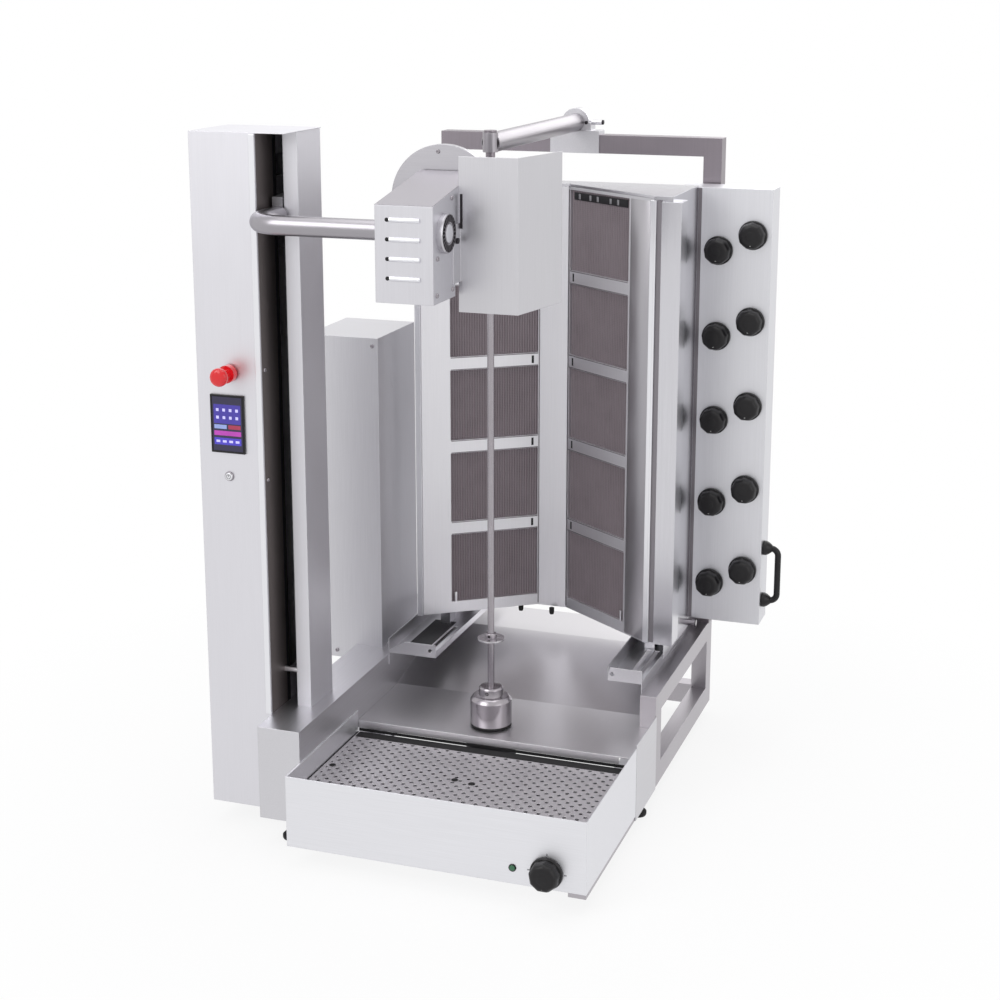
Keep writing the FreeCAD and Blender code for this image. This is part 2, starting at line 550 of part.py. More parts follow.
def make_cutter():
    """Bent arm tube, pivoting head with its bearing, motor, round blade and guard."""
    def tube(diameter):
        corner_x = "(%s + arm_bend)" % ARM_X
        corner_y = "(%s + arm_bend)" % ARM_Y
        return fuse(
            rod("y", ARM_X, corner_y, "arm_level", diameter,
                "column_front + 47 - %s" % corner_y),
            bend(corner_x, corner_y, "arm_level", "arm_bend", diameter,
                 turned((0, 0, 1), 180)),
            rod("x", corner_x, ARM_Y, "arm_level", diameter,
                "head_left + head_width + bearing_depth - %s" % corner_x))
    node("arm_tube", cut(tube("arm_diameter"), tube("arm_bore")))

    def profile(inset):
        back = "(head_depth + neck_depth)"
        return [
            (inset, "head_base + %s" % inset),
            ("head_depth - %s" % inset, "head_base + %s" % inset),
            ("head_depth - %s" % inset, "neck_base + %s" % inset),
            ("%s - %s" % (back, inset), "neck_base + %s" % inset),
            ("%s - %s" % (back, inset), "head_base + head_front_height + roof_rise - %s" % inset),
            (inset, "head_base + head_front_height - %s" % inset),
        ]
    outer = pad("YZ_Plane", profile("0"), "head_width", "head_left", "0", "0")
    inner = pad("YZ_Plane", profile("tube_wall"), "head_width - 2*tube_wall",
                "head_left + tube_wall", "0", "0")
    bore = rod("x", "head_left - 1", ARM_Y, "arm_level", "arm_diameter + 2*running_gap",
               "head_width + 2")
    spindle_hole = rod("y", "head_left + blade_side", "head_depth + neck_depth - 10",
                       "blade_level", "spindle_diameter + 6", "20")
    slots = [box("head_left + (head_width - louvre_width)/2", "-2",
                 "arm_level + louvre_rise - %d*louvre_pitch" % row, "louvre_width",
                 "tube_wall + 4", "5")
             for row in range(4)]
    node("head_housing", cut(outer, inner, bore, spindle_hole, *slots))
    ring = cut(rod("x", "head_left + head_width", ARM_Y, "arm_level", "bearing_diameter",
                   "bearing_depth"),
               rod("x", "head_left + head_width - 1", ARM_Y, "arm_level",
                   "arm_diameter + 2*running_gap", "bearing_depth + 2"))
    node("flange_bearing", ring)
    blade_x = "(head_left + blade_side)"
    neck_back = "(head_depth + neck_depth)"
    motor = cut(rod("y", blade_x, "%s - tube_wall - seat_gap - blade_motor_length" % neck_back,
                    "blade_level", "blade_motor_diameter", "blade_motor_length"),
                rod("y", blade_x, "%s - spindle_reach - 2" % neck_back, "blade_level",
                    "spindle_diameter + 2*running_gap", "spindle_reach + 12"))
    node("blade_motor", motor)
    guard = fuse(
        rod("y", blade_x, "%s + seat_gap" % neck_back, "blade_level", "guard_diameter/4", "guard_depth"),
        rod("y", blade_x, "%s + guard_depth" % neck_back, "blade_level", "guard_diameter",
            "guard_depth"))
    rim = cut(rod("y", blade_x, "%s + guard_depth" % neck_back, "blade_level",
                  "guard_diameter", "guard_rim"),
              rod("y", blade_x, neck_back, "blade_level", "guard_diameter - 2*tube_wall",
                  "guard_depth + guard_rim + 2"))
    node("blade_guard", cut(fuse(guard, rim), rod("y", blade_x, neck_back, "blade_level",
                                                  "spindle_diameter + 6",
                                                  "2*guard_depth + guard_rim")))
    make_shield()
    blade = fuse(
        rod("y", blade_x, "%s + 2*guard_depth + blade_gap" % neck_back, "blade_level",
            "blade_diameter", "sheet_wall"),
        rod("y", blade_x, "%s - spindle_reach" % neck_back, "blade_level", "spindle_diameter",
            "spindle_reach + 2*guard_depth + spindle_nose"))
    node("blade", blade)


def make_shield():
    """Bent sheet that covers the blade's right side, on a bracket at the head's side."""
    corners = [
        ("0", "0"), ("shield_width", "0"), ("shield_width + shield_splay", "shield_depth"),
        ("shield_width + shield_splay - sheet_wall", "shield_depth"),
        ("shield_width - sheet_wall", "sheet_wall"), ("0", "sheet_wall"),
    ]
    side = "(head_left + head_width)"
    panel = pad("XY_Plane", corners, "shield_height", side, "shield_front", "shield_base")
    bracket = box(side, "shield_front - bracket_length", "bracket_base", "2*sheet_wall",
                  "bracket_length + sheet_wall", "bracket_height")
    node("blade_shield", fuse(panel, bracket))


def make_spit():
    """Spit rod on a cup shaped drive hub over a geared motor under the floor."""
    node("spit_rod", cut(
        rod("z", SPIT_X, "spit_back", "floor_top + hub_height - 20", "spit_diameter",
            "spit_top - floor_top - hub_height + 20"),
        rod("z", SPIT_X, "spit_back", "spit_top - 12", "pin_tip + 2*running_gap", "20")))
    node("meat_disc", cut(
        rod("z", SPIT_X, "spit_back", "disc_level", "disc_diameter", "3"),
        rod("z", SPIT_X, "spit_back", "disc_level - 5", "spit_diameter + 2*running_gap", "20")))
    base = "(floor_top + 1)"
    hub_top = "(%s + hub_height)" % base
    hub = revolve(
        [("0", "0"), ("hub_diameter/2", "0"), ("hub_diameter/2", "hub_height - 6"),
         ("hub_diameter/2 - 6", "hub_height"), ("collar_diameter/2", "hub_height"),
         ("collar_diameter/2", "hub_height + collar_height"),
         ("0", "hub_height + collar_height")],
        SPIT_X, "spit_back", base)
    node("drive_hub", cut(
        hub,
        rod("z", SPIT_X, "spit_back", "%s - 21 - running_gap" % hub_top,
            "spit_diameter + 2*running_gap", "60"),
        rod("z", SPIT_X, "spit_back", "%s - 1" % base, "shaft_diameter + 2*running_gap", "18")))
    flange_top = "(floor_top - sheet_wall)"
    node("spit_motor", fuse(
        rod("z", SPIT_X, "spit_back", "%s - spit_motor_height" % flange_top,
            "spit_motor_diameter", "spit_motor_height"),
        rod("z", SPIT_X, "spit_back", flange_top, "shaft_diameter", "sheet_wall + 16")))


def make_burner():
    """Burner cabinet: folded housing with two slanted fronts that meet at a middle post."""
    depth = "(frame_thickness / cos(atan(v_rise / v_run)))"
    span = "(2*v_run + apex_width)"
    height = "(burner_top - burner_base)"
    angle = math.degrees(math.atan2(sheet.get("v_rise"), sheet.get("v_run")))
    body_depth = "(burner_back - burner_front)"

    def plan(front):
        """Plan outline of the cabinet from its left tip, with the V cut into the front."""
        return [("0", front), ("v_run", "v_rise + %s" % front),
                ("v_run + apex_width", "v_rise + %s" % front), (span, front),
                ("%s + groove_width" % span, front), ("%s + groove_width" % span, body_depth),
                ("0", body_depth)]
    cover = pad("XY_Plane", plan("0"), "cover_height", V_LEFT, "burner_front", "burner_top")
    inset = "(%s + seat_gap)" % depth
    bottom = pad("XY_Plane", plan(inset), "sheet_wall", V_LEFT, "burner_front", "burner_base")
    wall_front = "(burner_front + %s + sheet_wall)" % inset
    wall_depth = "(burner_back - %s)" % wall_front
    walls = [
        box(V_LEFT, wall_front, "burner_base", "sheet_wall", wall_depth, height),
        box(V_LEFT, "burner_back - sheet_wall", "burner_base", "%s + groove_width" % span,
            "sheet_wall", height),
        box("%s - sheet_wall" % SIDE_X, "burner_front", "box_base - 20", "sheet_wall",
            body_depth, "burner_top - box_base + 20"),
        box("%s + seat_gap" % V_RIGHT, "burner_front + 6", "burner_base",
            "groove_width - seat_gap", "sheet_wall", height),
        hollow("(%s + corner_out - corner_width)" % SIDE_X, "burner_front", "burner_base",
               "corner_width", "corner_depth", "(%s - cover_height)" % height),
    ]
    roller_z = "(channel_base + sheet_wall + roller_diameter/2)"
    hangers = []
    for middle in ROLLER_PLACES:
        for side in ("- roller_width/2 - 5", "+ roller_width/2 + 2"):
            hangers.append(box("%s %s" % (middle, side), "roller_back - 10",
                               "%s - 10" % roller_z, "3", "20",
                               "burner_base - %s + 10" % roller_z))
        hangers.append(box("%s - 10" % middle, "burner_front + 45",
                           "channel_base + sheet_wall + seat_gap", "20", "30",
                           "burner_base - channel_base - sheet_wall - seat_gap"))
    axle_bore = rod("x", V_LEFT, "roller_back", roller_z, "axle_diameter + 2*running_gap",
                    "%s + groove_width + 20" % span)
    node("burner_housing", cut(fuse(cover, bottom, *walls, *hangers), axle_bore))

    frame_left = pad("XY_Plane", [("0", "0"), ("v_run", "v_rise"),
                                  ("v_run", "v_rise + %s" % depth), ("0", depth)],
                     "%s - seat_gap" % height, V_LEFT, "burner_front", "burner_base")
    frame_right = pad("XY_Plane", [("0", "v_rise"), ("v_run", "0"), ("v_run", depth),
                                   ("0", "v_rise + %s" % depth)],
                      "%s - seat_gap" % height, "%s + v_run + apex_width" % V_LEFT,
                      "burner_front", "burner_base")
    fronts = []
    plaques = []
    count = int(sheet.get("window_count"))
    for frame, tip, turn, start in ((frame_left, V_LEFT, angle, "strip_width"),
                                    (frame_right, V_RIGHT, -angle,
                                     "-strip_width - window_width")):
        openings = []
        for level in range(count):
            base = "low_bar + %d*(window_height + bar_height)" % level
            tall = "window_height" if level < count - 1 else "window_height + top_extra"
            openings.append(box(start, "-20", base, "window_width", "60", tall))
            plaques.append((turn, start, base, tall))
        tools = fuse(*openings)
        place(tools, tip, "burner_front", "burner_base", turned((0, 0, 1), turn))
        fronts.append(cut(frame, tools))
    node("burner_frames", fuse(*fronts))
    rows = []
    for side in (angle, -angle):
        row = fuse(*[box("%s - 2" % start, "frame_thickness + seat_gap/2", "%s - 4" % base,
                         "window_width + 4", "plaque_depth", "%s + 8" % tall)
                     for turn, start, base, tall in plaques if turn == side])
        tip = V_LEFT if side > 0 else V_RIGHT
        rows.append(place(row, tip, "burner_front", "burner_base", turned((0, 0, 1), side)))
    node("ceramic_plaques", fuse(*rows))
    node("apex_post", box("%s - apex_width/2 + seat_gap" % SPIT_X,
                          "burner_front + v_rise - 2", "burner_base",
                          "apex_width - 2*seat_gap", "%s + 2 - seat_gap" % depth,
                          "%s - seat_gap" % height))

    axles = [rod("x", "%s - roller_width/2 - 10" % ROLLER_PLACES[0], "roller_back", roller_z,
                 "axle_diameter", "roller_width + 20"),
             rod("x", "%s - roller_width/2 - 10" % ROLLER_PLACES[1], "roller_back", roller_z,
                 "axle_diameter", "roller_width/2 + 4 - (%s)" % ROLLER_PLACES[1])]
    wheels = [rod("x", "%s - roller_width/2" % middle, "roller_back", roller_z,
                  "roller_diameter - 0.2", "roller_width") for middle in ROLLER_PLACES]
    node("roller_axle", fuse(*axles, *wheels))


RIGHT_CHANNEL = "(%s - rail_width)" % FRAME_RIGHT
ROLLER_PLACES = ("(-drawer_width + left_rail_width/2)",
                 "(%s - rail_width - right_rail_width/2)" % FRAME_RIGHT)


def make_burner_rails():
    """Two folded channels on which the burner cabinet rolls, with plates across their fronts."""
    rails = []
    run = "(frame_rear - rail_front - seat_gap - mast_tube)"
    places = (
        ("-drawer_width", "left_rail_width", "left_inner_flange", "left_rail_width - 11",
         "left_rail_width*0.38"),
        ("%s - right_rail_width" % RIGHT_CHANNEL, "right_rail_width", "right_outer_flange", "8",
         "4"),
    )
    for left, width, flange, hole, taper in places:
        outer = box(left, "rail_front", "channel_base", width, run, "channel_flange")
        room = box("%s + sheet_wall" % left, "rail_front - 1", "channel_base + sheet_wall",
                   "%s - 2*sheet_wall" % width, "%s + 2" % run, "channel_flange")
        low = box("%s + %s - 3*sheet_wall" % (left, width), "rail_front - 1",
                  "channel_base + %s" % flange, "6*sheet_wall", "%s + 2" % run, "channel_flange")
        front = pad("XZ_Plane", [("0", "0"), (width, "0"), (width, "rail_plate_height"),
                                 (taper, "rail_plate_height"), ("0", "5")],
                    "sheet_wall", left, "rail_front + sheet_wall", "channel_base")
        slots = [box("%s + %s*%s" % (left, width, share), "rail_front + 20",
                     "channel_base - 1", "rail_slot_width", "rail_slot_length",
                     "3*sheet_wall") for share in ("0.45", "0.7")]
        bolt_hole = rod("y", "%s + %s" % (left, hole), "rail_front - 1",
                        "channel_base + rail_plate_height/2", "8", "4*sheet_wall")
        rails.append(cut(fuse(cut(outer, room, low, *slots), front), bolt_hole))
    web_base = "(floor_top + floor_rise + 5)"
    web = box("%s - sheet_wall" % RIGHT_CHANNEL, "rail_front", web_base, "sheet_wall", run,
              "channel_base - %s + sheet_wall" % web_base)
    shelf = box("-drawer_width", "rail_front", web_base, "sheet_wall", run,
                "channel_base - %s + sheet_wall" % web_base)
    node("burner_rails", fuse(*rails, web, shelf))


def make_control_box():
    """Control box behind the burner's right side, with ten gas knobs, valves and a handle."""
    left = "(%s - groove_width)" % SIDE_X
    shell = hollow(left, "burner_back", "box_base", "box_right - %s" % left, "box_depth",
                   "box_top - box_base")
    holes = []
    valves = []
    pipe_x = "(knob_left + knob_right)/2"
    pipe_y = "(burner_back + box_depth/2 + 6)"
    count = int(sheet.get("window_count"))
    places = [("knob_left", "left_knob_low + %d*knob_pitch" % level) for level in range(count)]
    places += [("knob_right", "right_knob_low + %d*knob_pitch" % level)
               for level in range(count)]
    for number, (x, z) in enumerate(places, start=1):
        holes.append(rod("y", x, "burner_back - 2", z, "stem_diameter + 2*running_gap",
                         "4*sheet_wall"))
        block = box("%s - 12" % x, "burner_back + sheet_wall", "%s - 12" % z, "24",
                    "box_depth/2 + 6 - sheet_wall", "24")
        arm = rod("x", "knob_left", pipe_y, z, "12", "knob_right - knob_left")
        bore = rod("y", x, "burner_back", z, "stem_diameter + 2*running_gap", "26")
        valves.append(fuse(cut(block, bore), arm))
        knob("gas_knob_%d" % number, x, "burner_back", z, "knob_diameter", "knob_depth")
    pipe = rod("z", pipe_x, pipe_y, "left_knob_low - 20", "pipe_diameter",
               "right_knob_low - left_knob_low + (window_count - 1)*knob_pitch + 40")
    rear = "(burner_back + box_depth)"
    inlet = fuse(
        rod("y", pipe_x, pipe_y, "inlet_level", "pipe_diameter - 5", "%s - %s" % (rear, pipe_y)),
        rod("y", pipe_x, rear, "inlet_level", "inlet_diameter + 8", "8"),
        rod("y", pipe_x, "%s + 8" % rear, "inlet_level", "inlet_diameter", "inlet_length"))
    inlet_hole = rod("y", pipe_x, "%s - 5" % rear, "inlet_level", "pipe_diameter - 4", "10")
    node("control_box", cut(shell, inlet_hole, *holes))
    node("gas_manifold", fuse(pipe, inlet, *valves))

    out = "(handle_out - handle_bar/2)"
    bar_x = "(box_right + %s)" % out
    bar_y = "(burner_back + box_depth/3)"
    feet = [rod("x", "box_right", bar_y, z, "handle_bar", "%s - handle_corner" % out)
            for z in ("handle_low", "handle_high")]
    corners = [bend("%s - handle_corner" % bar_x, bar_y, "%s %s" % (z, shift), "handle_corner",
                    "handle_bar", rotation)
               for z, shift, rotation in (
                   ("handle_low", "+ handle_corner", turned((1, 0, 0), -90)),
                   ("handle_high", "- handle_corner", turned((1, 0, 0), 90)))]
    grip = rod("z", bar_x, bar_y, "handle_low + handle_corner", "handle_bar",
               "handle_high - handle_low - 2*handle_corner")
    node("pull_handle", fuse(grip, *feet, *corners))


def make_mast():
    """Rear arch, the clamp on its crossbar, and the top arm with its steady pin."""
    back = "(frame_rear - mast_tube)"

    def arch(wall, reach):
        size = "(mast_tube - 2*%s)" % wall
        cross = box("%s - mast_tube - 5 + %s" % (CONSOLE_RIGHT, wall), "%s + %s" % (back, wall),
                    "mast_top - mast_tube + %s" % wall,
                    "drawer_width + mast_tube + 5 - 2*%s" % wall, size, size)
        right = box("-mast_tube + %s" % wall, "%s + %s" % (back, wall),
                    "top_rail_base + top_rail_height - %s" % reach, size, size,
                    "mast_top - top_rail_base - top_rail_height - %s + %s" % (wall, reach))
        left = box("%s - mast_tube - 5 + %s" % (CONSOLE_RIGHT, wall), "%s + %s" % (back, wall),
                   "console_top - %s" % reach, size, size,
                   "mast_top - console_top - %s + %s" % (wall, reach))
        return fuse(cross, right, left)
    node("mast", cut(arch("0", "0"), arch("tube_wall", "5")))

    face = "(%s - seat_gap - clamp_plate)" % back
    seat = box("%s - clamp_width/2" % SPIT_X, face, "mast_top", "clamp_width",
               "mast_tube + clamp_plate + seat_gap", "8")
    plate = box("%s - clamp_width/2" % SPIT_X, face, "mast_top - clamp_drop", "clamp_width",
                "clamp_plate", "clamp_drop + 8")
    ring = rod("y", SPIT_X, "%s + 2" % back, "top_arm_level", "clamp_ring",
               "mast_tube - 4")
    foot = box("%s - clamp_ring/2 - 4" % SPIT_X, "%s + 2" % back, "mast_top",
               "clamp_ring + 8", "mast_tube - 4", "top_arm_level - mast_top")
    jaw = box("%s - 12" % SPIT_X, "%s + 8" % back, "top_arm_level", "24",
              "mast_tube - 16", "jaw_height")
    screw = rod("x", "%s + clamp_ring/2 - 4" % SPIT_X, "%s + mast_tube/2" % back,
                "top_arm_level", "10", "26")
    bore = rod("y", SPIT_X, "%s - 1" % face, "top_arm_level",
               "top_arm_diameter + 2*running_gap", "mast_tube + clamp_plate + 2")
    under = box("%s - clamp_width/2" % SPIT_X, "%s - seat_gap" % back, "mast_top - 20",
                "clamp_width", "mast_tube + 2", "20")
    node("clamp_block", cut(fuse(seat, plate, ring, foot, jaw, screw), bore, under))

    tube_run = "(frame_rear - spit_back)"
    arm = cut(rod("y", SPIT_X, "spit_back", "top_arm_level", "top_arm_diameter", tube_run),
              rod("y", SPIT_X, "spit_back - 1", "top_arm_level",
                  "top_arm_diameter - 2*tube_wall", "%s + 2" % tube_run))
    boss_top = "(top_arm_level + top_arm_diameter/2 + 1)"
    boss = rod("z", SPIT_X, "spit_back", "boss_base", "boss_diameter",
               "%s - boss_base" % boss_top)
    pin_bore = rod("z", SPIT_X, "spit_back", "boss_base - 5", "pin_diameter + 2*running_gap",
                   "60")
    node("top_arm", cut(fuse(arm, boss), pin_bore))
    node("top_pin", fuse(
        rod("z", SPIT_X, "spit_back", "spit_top + seat_gap", "pin_diameter",
            "%s - spit_top" % boss_top),
        rod("z", SPIT_X, "spit_back", "spit_top - 10", "pin_tip", "20"),
        rod("z", SPIT_X, "spit_back", "%s + seat_gap" % boss_top, "cap_diameter",
            "cap_height")))


def make_cabinet():
    """Electrical cabinet on the console behind the column, with its cable inlet gland."""
    right = "(%s - cabinet_set_in)" % CONSOLE_RIGHT
    left = "(%s - cabinet_width)" % right
    main = hollow(left, "cabinet_front", "console_top", "cabinet_width", "cabinet_depth",
                  "cabinet_top - console_top")
    skirt = box(left, "cabinet_front", "console_top - cabinet_skirt",
                "%s - seat_gap - (%s)" % (CONSOLE_LEFT, left), "cabinet_depth",
                "cabinet_skirt")
    gland_x = "(%s + 36)" % left
    back = "cabinet_front + cabinet_depth"
    hole = rod("y", gland_x, "%s - 5" % back, "gland_level", "gland_diameter - 4", "10")
    node("electrical_cabinet", cut(fuse(main, skirt), hole))
    node("cable_gland", cut(
        fuse(rod("y", gland_x, back, "gland_level", "gland_diameter + 6", "8"),
             rod("y", gland_x, back, "gland_level", "gland_diameter", "22"),
             rod("y", gland_x, "%s - 8" % back, "gland_level", "gland_diameter - 4.2", "10")),
        rod("y", gland_x, "%s - 10" % back, "gland_level", "gland_bore", "40")))


make_side_frame()
make_console_box()
make_side_panel()
make_floor_plate()
make_feet()
make_runner_channels(*make_drawer())
make_column()
make_column_controls()
make_cutter()
make_spit()
make_burner()
make_burner_rails()
make_control_box()
make_mast()
make_cabinet()
doc.recompute()

faults = ["%s is %s" % (item.Label, item.State) for item in doc.Objects
          if "Invalid" in item.State or "Error" in item.State]
faults += ["%s has no good shape" % item.Label for item in NODES
           if item.Shape.isNull() or not item.Shape.isValid() or not item.Shape.Solids]
if faults:
    raise SystemExit("\n".join(faults))
os.makedirs("parts", exist_ok=True)
whole = FreeCAD.BoundBox()
for item in NODES:
    item.Shape.exportStep("parts/%s.step" % item.Label)
    whole.add(item.Shape.BoundBox)
print(len(NODES), "nodes from", [round(n, 1) for n in (whole.XMin, whole.YMin, whole.ZMin)],
      "to", [round(n, 1) for n in (whole.XMax, whole.YMax, whole.ZMax)])
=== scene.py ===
import math

import bmesh
import bpy
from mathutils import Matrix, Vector


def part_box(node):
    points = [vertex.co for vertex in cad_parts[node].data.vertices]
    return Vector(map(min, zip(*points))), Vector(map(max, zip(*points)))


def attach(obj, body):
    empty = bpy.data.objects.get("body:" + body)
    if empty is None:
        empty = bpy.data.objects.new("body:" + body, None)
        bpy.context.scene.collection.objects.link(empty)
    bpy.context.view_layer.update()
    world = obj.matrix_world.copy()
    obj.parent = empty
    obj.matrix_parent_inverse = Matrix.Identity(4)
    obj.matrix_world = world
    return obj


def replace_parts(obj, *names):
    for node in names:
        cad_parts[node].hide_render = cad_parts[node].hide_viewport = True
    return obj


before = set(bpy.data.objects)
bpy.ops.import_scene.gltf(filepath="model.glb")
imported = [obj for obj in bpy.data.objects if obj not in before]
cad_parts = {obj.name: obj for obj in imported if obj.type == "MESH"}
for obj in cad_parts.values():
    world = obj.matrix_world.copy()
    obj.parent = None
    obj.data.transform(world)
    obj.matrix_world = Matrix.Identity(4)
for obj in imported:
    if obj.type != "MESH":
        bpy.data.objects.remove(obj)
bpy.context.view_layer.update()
bpy.ops.object.select_all(action="DESELECT")

# Camera and studio.
# The photo looks down a little from the right, so the camera stands there, a good two metres
# in front of the drawer. The room is a white floor with soft light from above and both sides.
EYE = (1.026, -2.972, 1.452)
EYE_TILT = math.radians(76.6)
EYE_TURN = math.radians(19.2)
SENSOR_WIDTH = 36
FOCAL_IN_PIXELS = 1822
FRAME_PIXELS = 1000
CENTRE_ROW = 416

bpy.ops.object.camera_add(location=EYE, rotation=(EYE_TILT, 0, EYE_TURN))
camera = bpy.context.object
camera.data.sensor_width = SENSOR_WIDTH
camera.data.lens = SENSOR_WIDTH * FOCAL_IN_PIXELS / FRAME_PIXELS
camera.data.shift_y = -(FRAME_PIXELS / 2 - CENTRE_ROW) / FRAME_PIXELS
bpy.context.scene.camera = camera
bpy.context.scene.view_settings.view_transform = "Standard"


def hex_color(text):
    """Turn an sRGB hex value into the linear colour that a shader takes."""
    channels = [int(text[i:i + 2], 16) / 255 for i in (1, 3, 5)]
    linear = [c / 12.92 if c <= 0.04045 else ((c + 0.055) / 1.055) ** 2.4 for c in channels]
    return (*linear, 1)


def add_node(tree, kind, settings=None, links=None):
    """Add one shader node, set its properties and sockets, and link its inputs."""
    made = tree.nodes.new(kind)
    for name, value in (settings or {}).items():
        if isinstance(name, int) or name in made.inputs:
            made.inputs[name].default_value = value
        else:
            setattr(made, name, value)
    for name, source in (links or {}).items():
        tree.links.new(source, made.inputs[name])
    return made


def light_panel(name, place, aim, size, power):
    """A large soft lamp that looks at a point."""
    bpy.ops.object.light_add(type="AREA", location=place)
    lamp = bpy.context.object
    lamp.name = name
    lamp.data.size = size
    lamp.data.energy = power
    lamp.rotation_euler = (Vector(aim) - Vector(place)).to_track_quat("-Z", "Y").to_euler()


light_panel("key_panel", (-1.6, -2.6, 2.9), (0, 0, 0.6), 2.2, 42)
light_panel("fill_panel", (2.8, -1.4, 1.8), (0, 0, 0.6), 2.0, 16)
light_panel("top_panel", (0, 0.2, 3.4), (0, 0, 0.5), 2.4, 30)
light_panel("back_panel", (0.6, 3.0, 2.2), (0, 0, 0.6), 2.0, 22)


def seen_rays(tree):
    """One for rays that the camera, a reflection or glass sends, else nought."""
    ray = add_node(tree, "ShaderNodeLightPath")
    straight = add_node(tree, "ShaderNodeMath", {"operation": "MAXIMUM"},
                        {0: ray.outputs["Is Camera Ray"], 1: ray.outputs["Is Glossy Ray"]})
    return add_node(tree, "ShaderNodeMath", {"operation": "MAXIMUM"},
                    {0: straight.outputs[0], 1: ray.outputs["Is Transmission Ray"]})


world = bpy.data.worlds.new("studio")
bpy.context.scene.world = world
world.use_nodes = True
sky = world.node_tree
sky.nodes.clear()
room = add_node(sky, "ShaderNodeBackground", {"Color": hex_color("#f4f4f6"), "Strength": 0.55})
white = add_node(sky, "ShaderNodeBackground", {"Color": (1, 1, 1, 1), "Strength": 1.0})
both = add_node(sky, "ShaderNodeMixShader", {},
                {0: seen_rays(sky).outputs[0], 1: room.outputs[0], 2: white.outputs[0]})
add_node(sky, "ShaderNodeOutputWorld", {}, {"Surface": both.outputs[0]})


def new_material(name):
    """An empty material, ready for a finish."""
    made = bpy.data.materials.new(name)
    made.use_nodes = True
    made.node_tree.nodes.clear()
    return made, made.node_tree


def finish_material(tree, settings, links=None):
    """Close a material with one principled shader."""
    shader = add_node(tree, "ShaderNodeBsdfPrincipled", settings, links)
    add_node(tree, "ShaderNodeOutputMaterial", {}, {"Surface": shader.outputs[0]})
    return shader


def white_floor():
    """Matt white studio floor that is seen nearly white, with a faint shadow left on it."""
    made, tree = new_material("studio_floor_white")
    matt = add_node(tree, "ShaderNodeBsdfDiffuse", {"Color": hex_color("#f7f7f7")})
    glow = add_node(tree, "ShaderNodeEmission", {"Color": (1, 1, 1, 1), "Strength": 1.0})
    place = add_node(tree, "ShaderNodeTexCoord")
    away = add_node(tree, "ShaderNodeVectorMath", {"operation": "LENGTH"},
                    {0: place.outputs["Object"]})
    fade = add_node(tree, "ShaderNodeMapRange", {"From Min": 0.5, "From Max": 1.3,
                                                 "To Min": 0.84, "To Max": 1.0},
                    {"Value": away.outputs["Value"]})
    share = add_node(tree, "ShaderNodeMath", {"operation": "MULTIPLY"},
                     {0: seen_rays(tree).outputs[0], 1: fade.outputs["Result"]})
    mix = add_node(tree, "ShaderNodeMixShader", {},
                   {0: share.outputs[0], 1: matt.outputs[0], 2: glow.outputs[0]})
    add_node(tree, "ShaderNodeOutputMaterial", {}, {"Surface": mix.outputs[0]})
    return made


bpy.ops.mesh.primitive_plane_add(size=60, location=(0, 0, 0))
floor = bpy.context.object
floor.name = "studio_floor"
floor.data.materials.append(white_floor())


# Right side frame and its outer panel.
# Drawn stainless box tube, welded and ground, with a folded sheet panel over its front bay.
# The tube keeps its darker mill tone, and its corners catch a thin line of light.
def dress(material, *names):
    """Give carried-over nodes their finish."""
    for name in names:
        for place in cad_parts[name].material_slots:
            place.material = material


def brushed_stainless(name, tint, roughness, along, line_mm=1.6, contrast=0.05, wear=0.07,
                      relief=0.12):
    """Brushed 304 stainless: fine lines along the belt's direction, soft pale reflection.
    The lines are drawn coarser than real 0.1 mm ones so that they still show."""
    made, tree = new_material(name)
    place = add_node(tree, "ShaderNodeTexCoord")
    across = 1000 / line_mm
    scale = [across] * 3
    scale["XYZ".index(along)] = across / 60
    stretched = add_node(tree, "ShaderNodeMapping", {"Scale": scale},
                         {"Vector": place.outputs["Object"]})
    lines = add_node(tree, "ShaderNodeTexNoise", {"Scale": 1.0, "Detail": 3.0},
                     {"Vector": stretched.outputs[0]})
    clouds = add_node(tree, "ShaderNodeTexNoise", {"Scale": 5.0, "Detail": 2.0},
                      {"Vector": place.outputs["Object"]})
    shade = add_node(tree, "ShaderNodeMapRange",
                     {"From Min": 0.3, "From Max": 0.7, "To Min": 1 - contrast,
                      "To Max": 1 + contrast / 2}, {"Value": lines.outputs["Fac"]})
    tone = add_node(tree, "ShaderNodeVectorMath",
                    {"operation": "SCALE", 0: hex_color(tint)[:3]},
                    {"Scale": shade.outputs["Result"]})
    smear = add_node(tree, "ShaderNodeMath", {"operation": "ADD"},
                     {0: lines.outputs["Fac"], 1: clouds.outputs["Fac"]})
    rough = add_node(tree, "ShaderNodeMapRange",
                     {"From Min": 0.6, "From Max": 1.4, "To Min": roughness - wear / 2,
                      "To Max": roughness + wear}, {"Value": smear.outputs[0]})
    edge = add_node(tree, "ShaderNodeBevel", {"samples": 4, "Radius": 0.0012})
    bump = add_node(tree, "ShaderNodeBump", {"Strength": relief, "Distance": 0.0002},
                    {"Height": lines.outputs["Fac"], "Normal": edge.outputs["Normal"]})
    finish_material(tree, {"Metallic": 1.0}, {"Base Color": tone.outputs[0],
                                              "Roughness": rough.outputs["Result"],
                                              "Normal": bump.outputs["Normal"]})
    return made


frame_steel = brushed_stainless("drawn_stainless_tube", "#b5b1b6", 0.36, "Y")
side_steel = brushed_stainless("brushed_stainless_side", "#cfced2", 0.34, "Y")
dress(frame_steel, "side_frame")
dress(side_steel, "side_panel")


# Screws.
# Stainless pan head screws with a sunk socket hold the covers of the head, the column and the
# cabinets. One head is turned, and its copies are set wherever the sheet is screwed down.
CORNER = (0.286, -0.4301, 0.037)


def spot(x, y, z):
    """A place in metres, from millimetres counted from the drawer's lower right front corner."""
    return Vector((CORNER[0] + x / 1000, CORNER[1] + y / 1000, CORNER[2] + z / 1000))


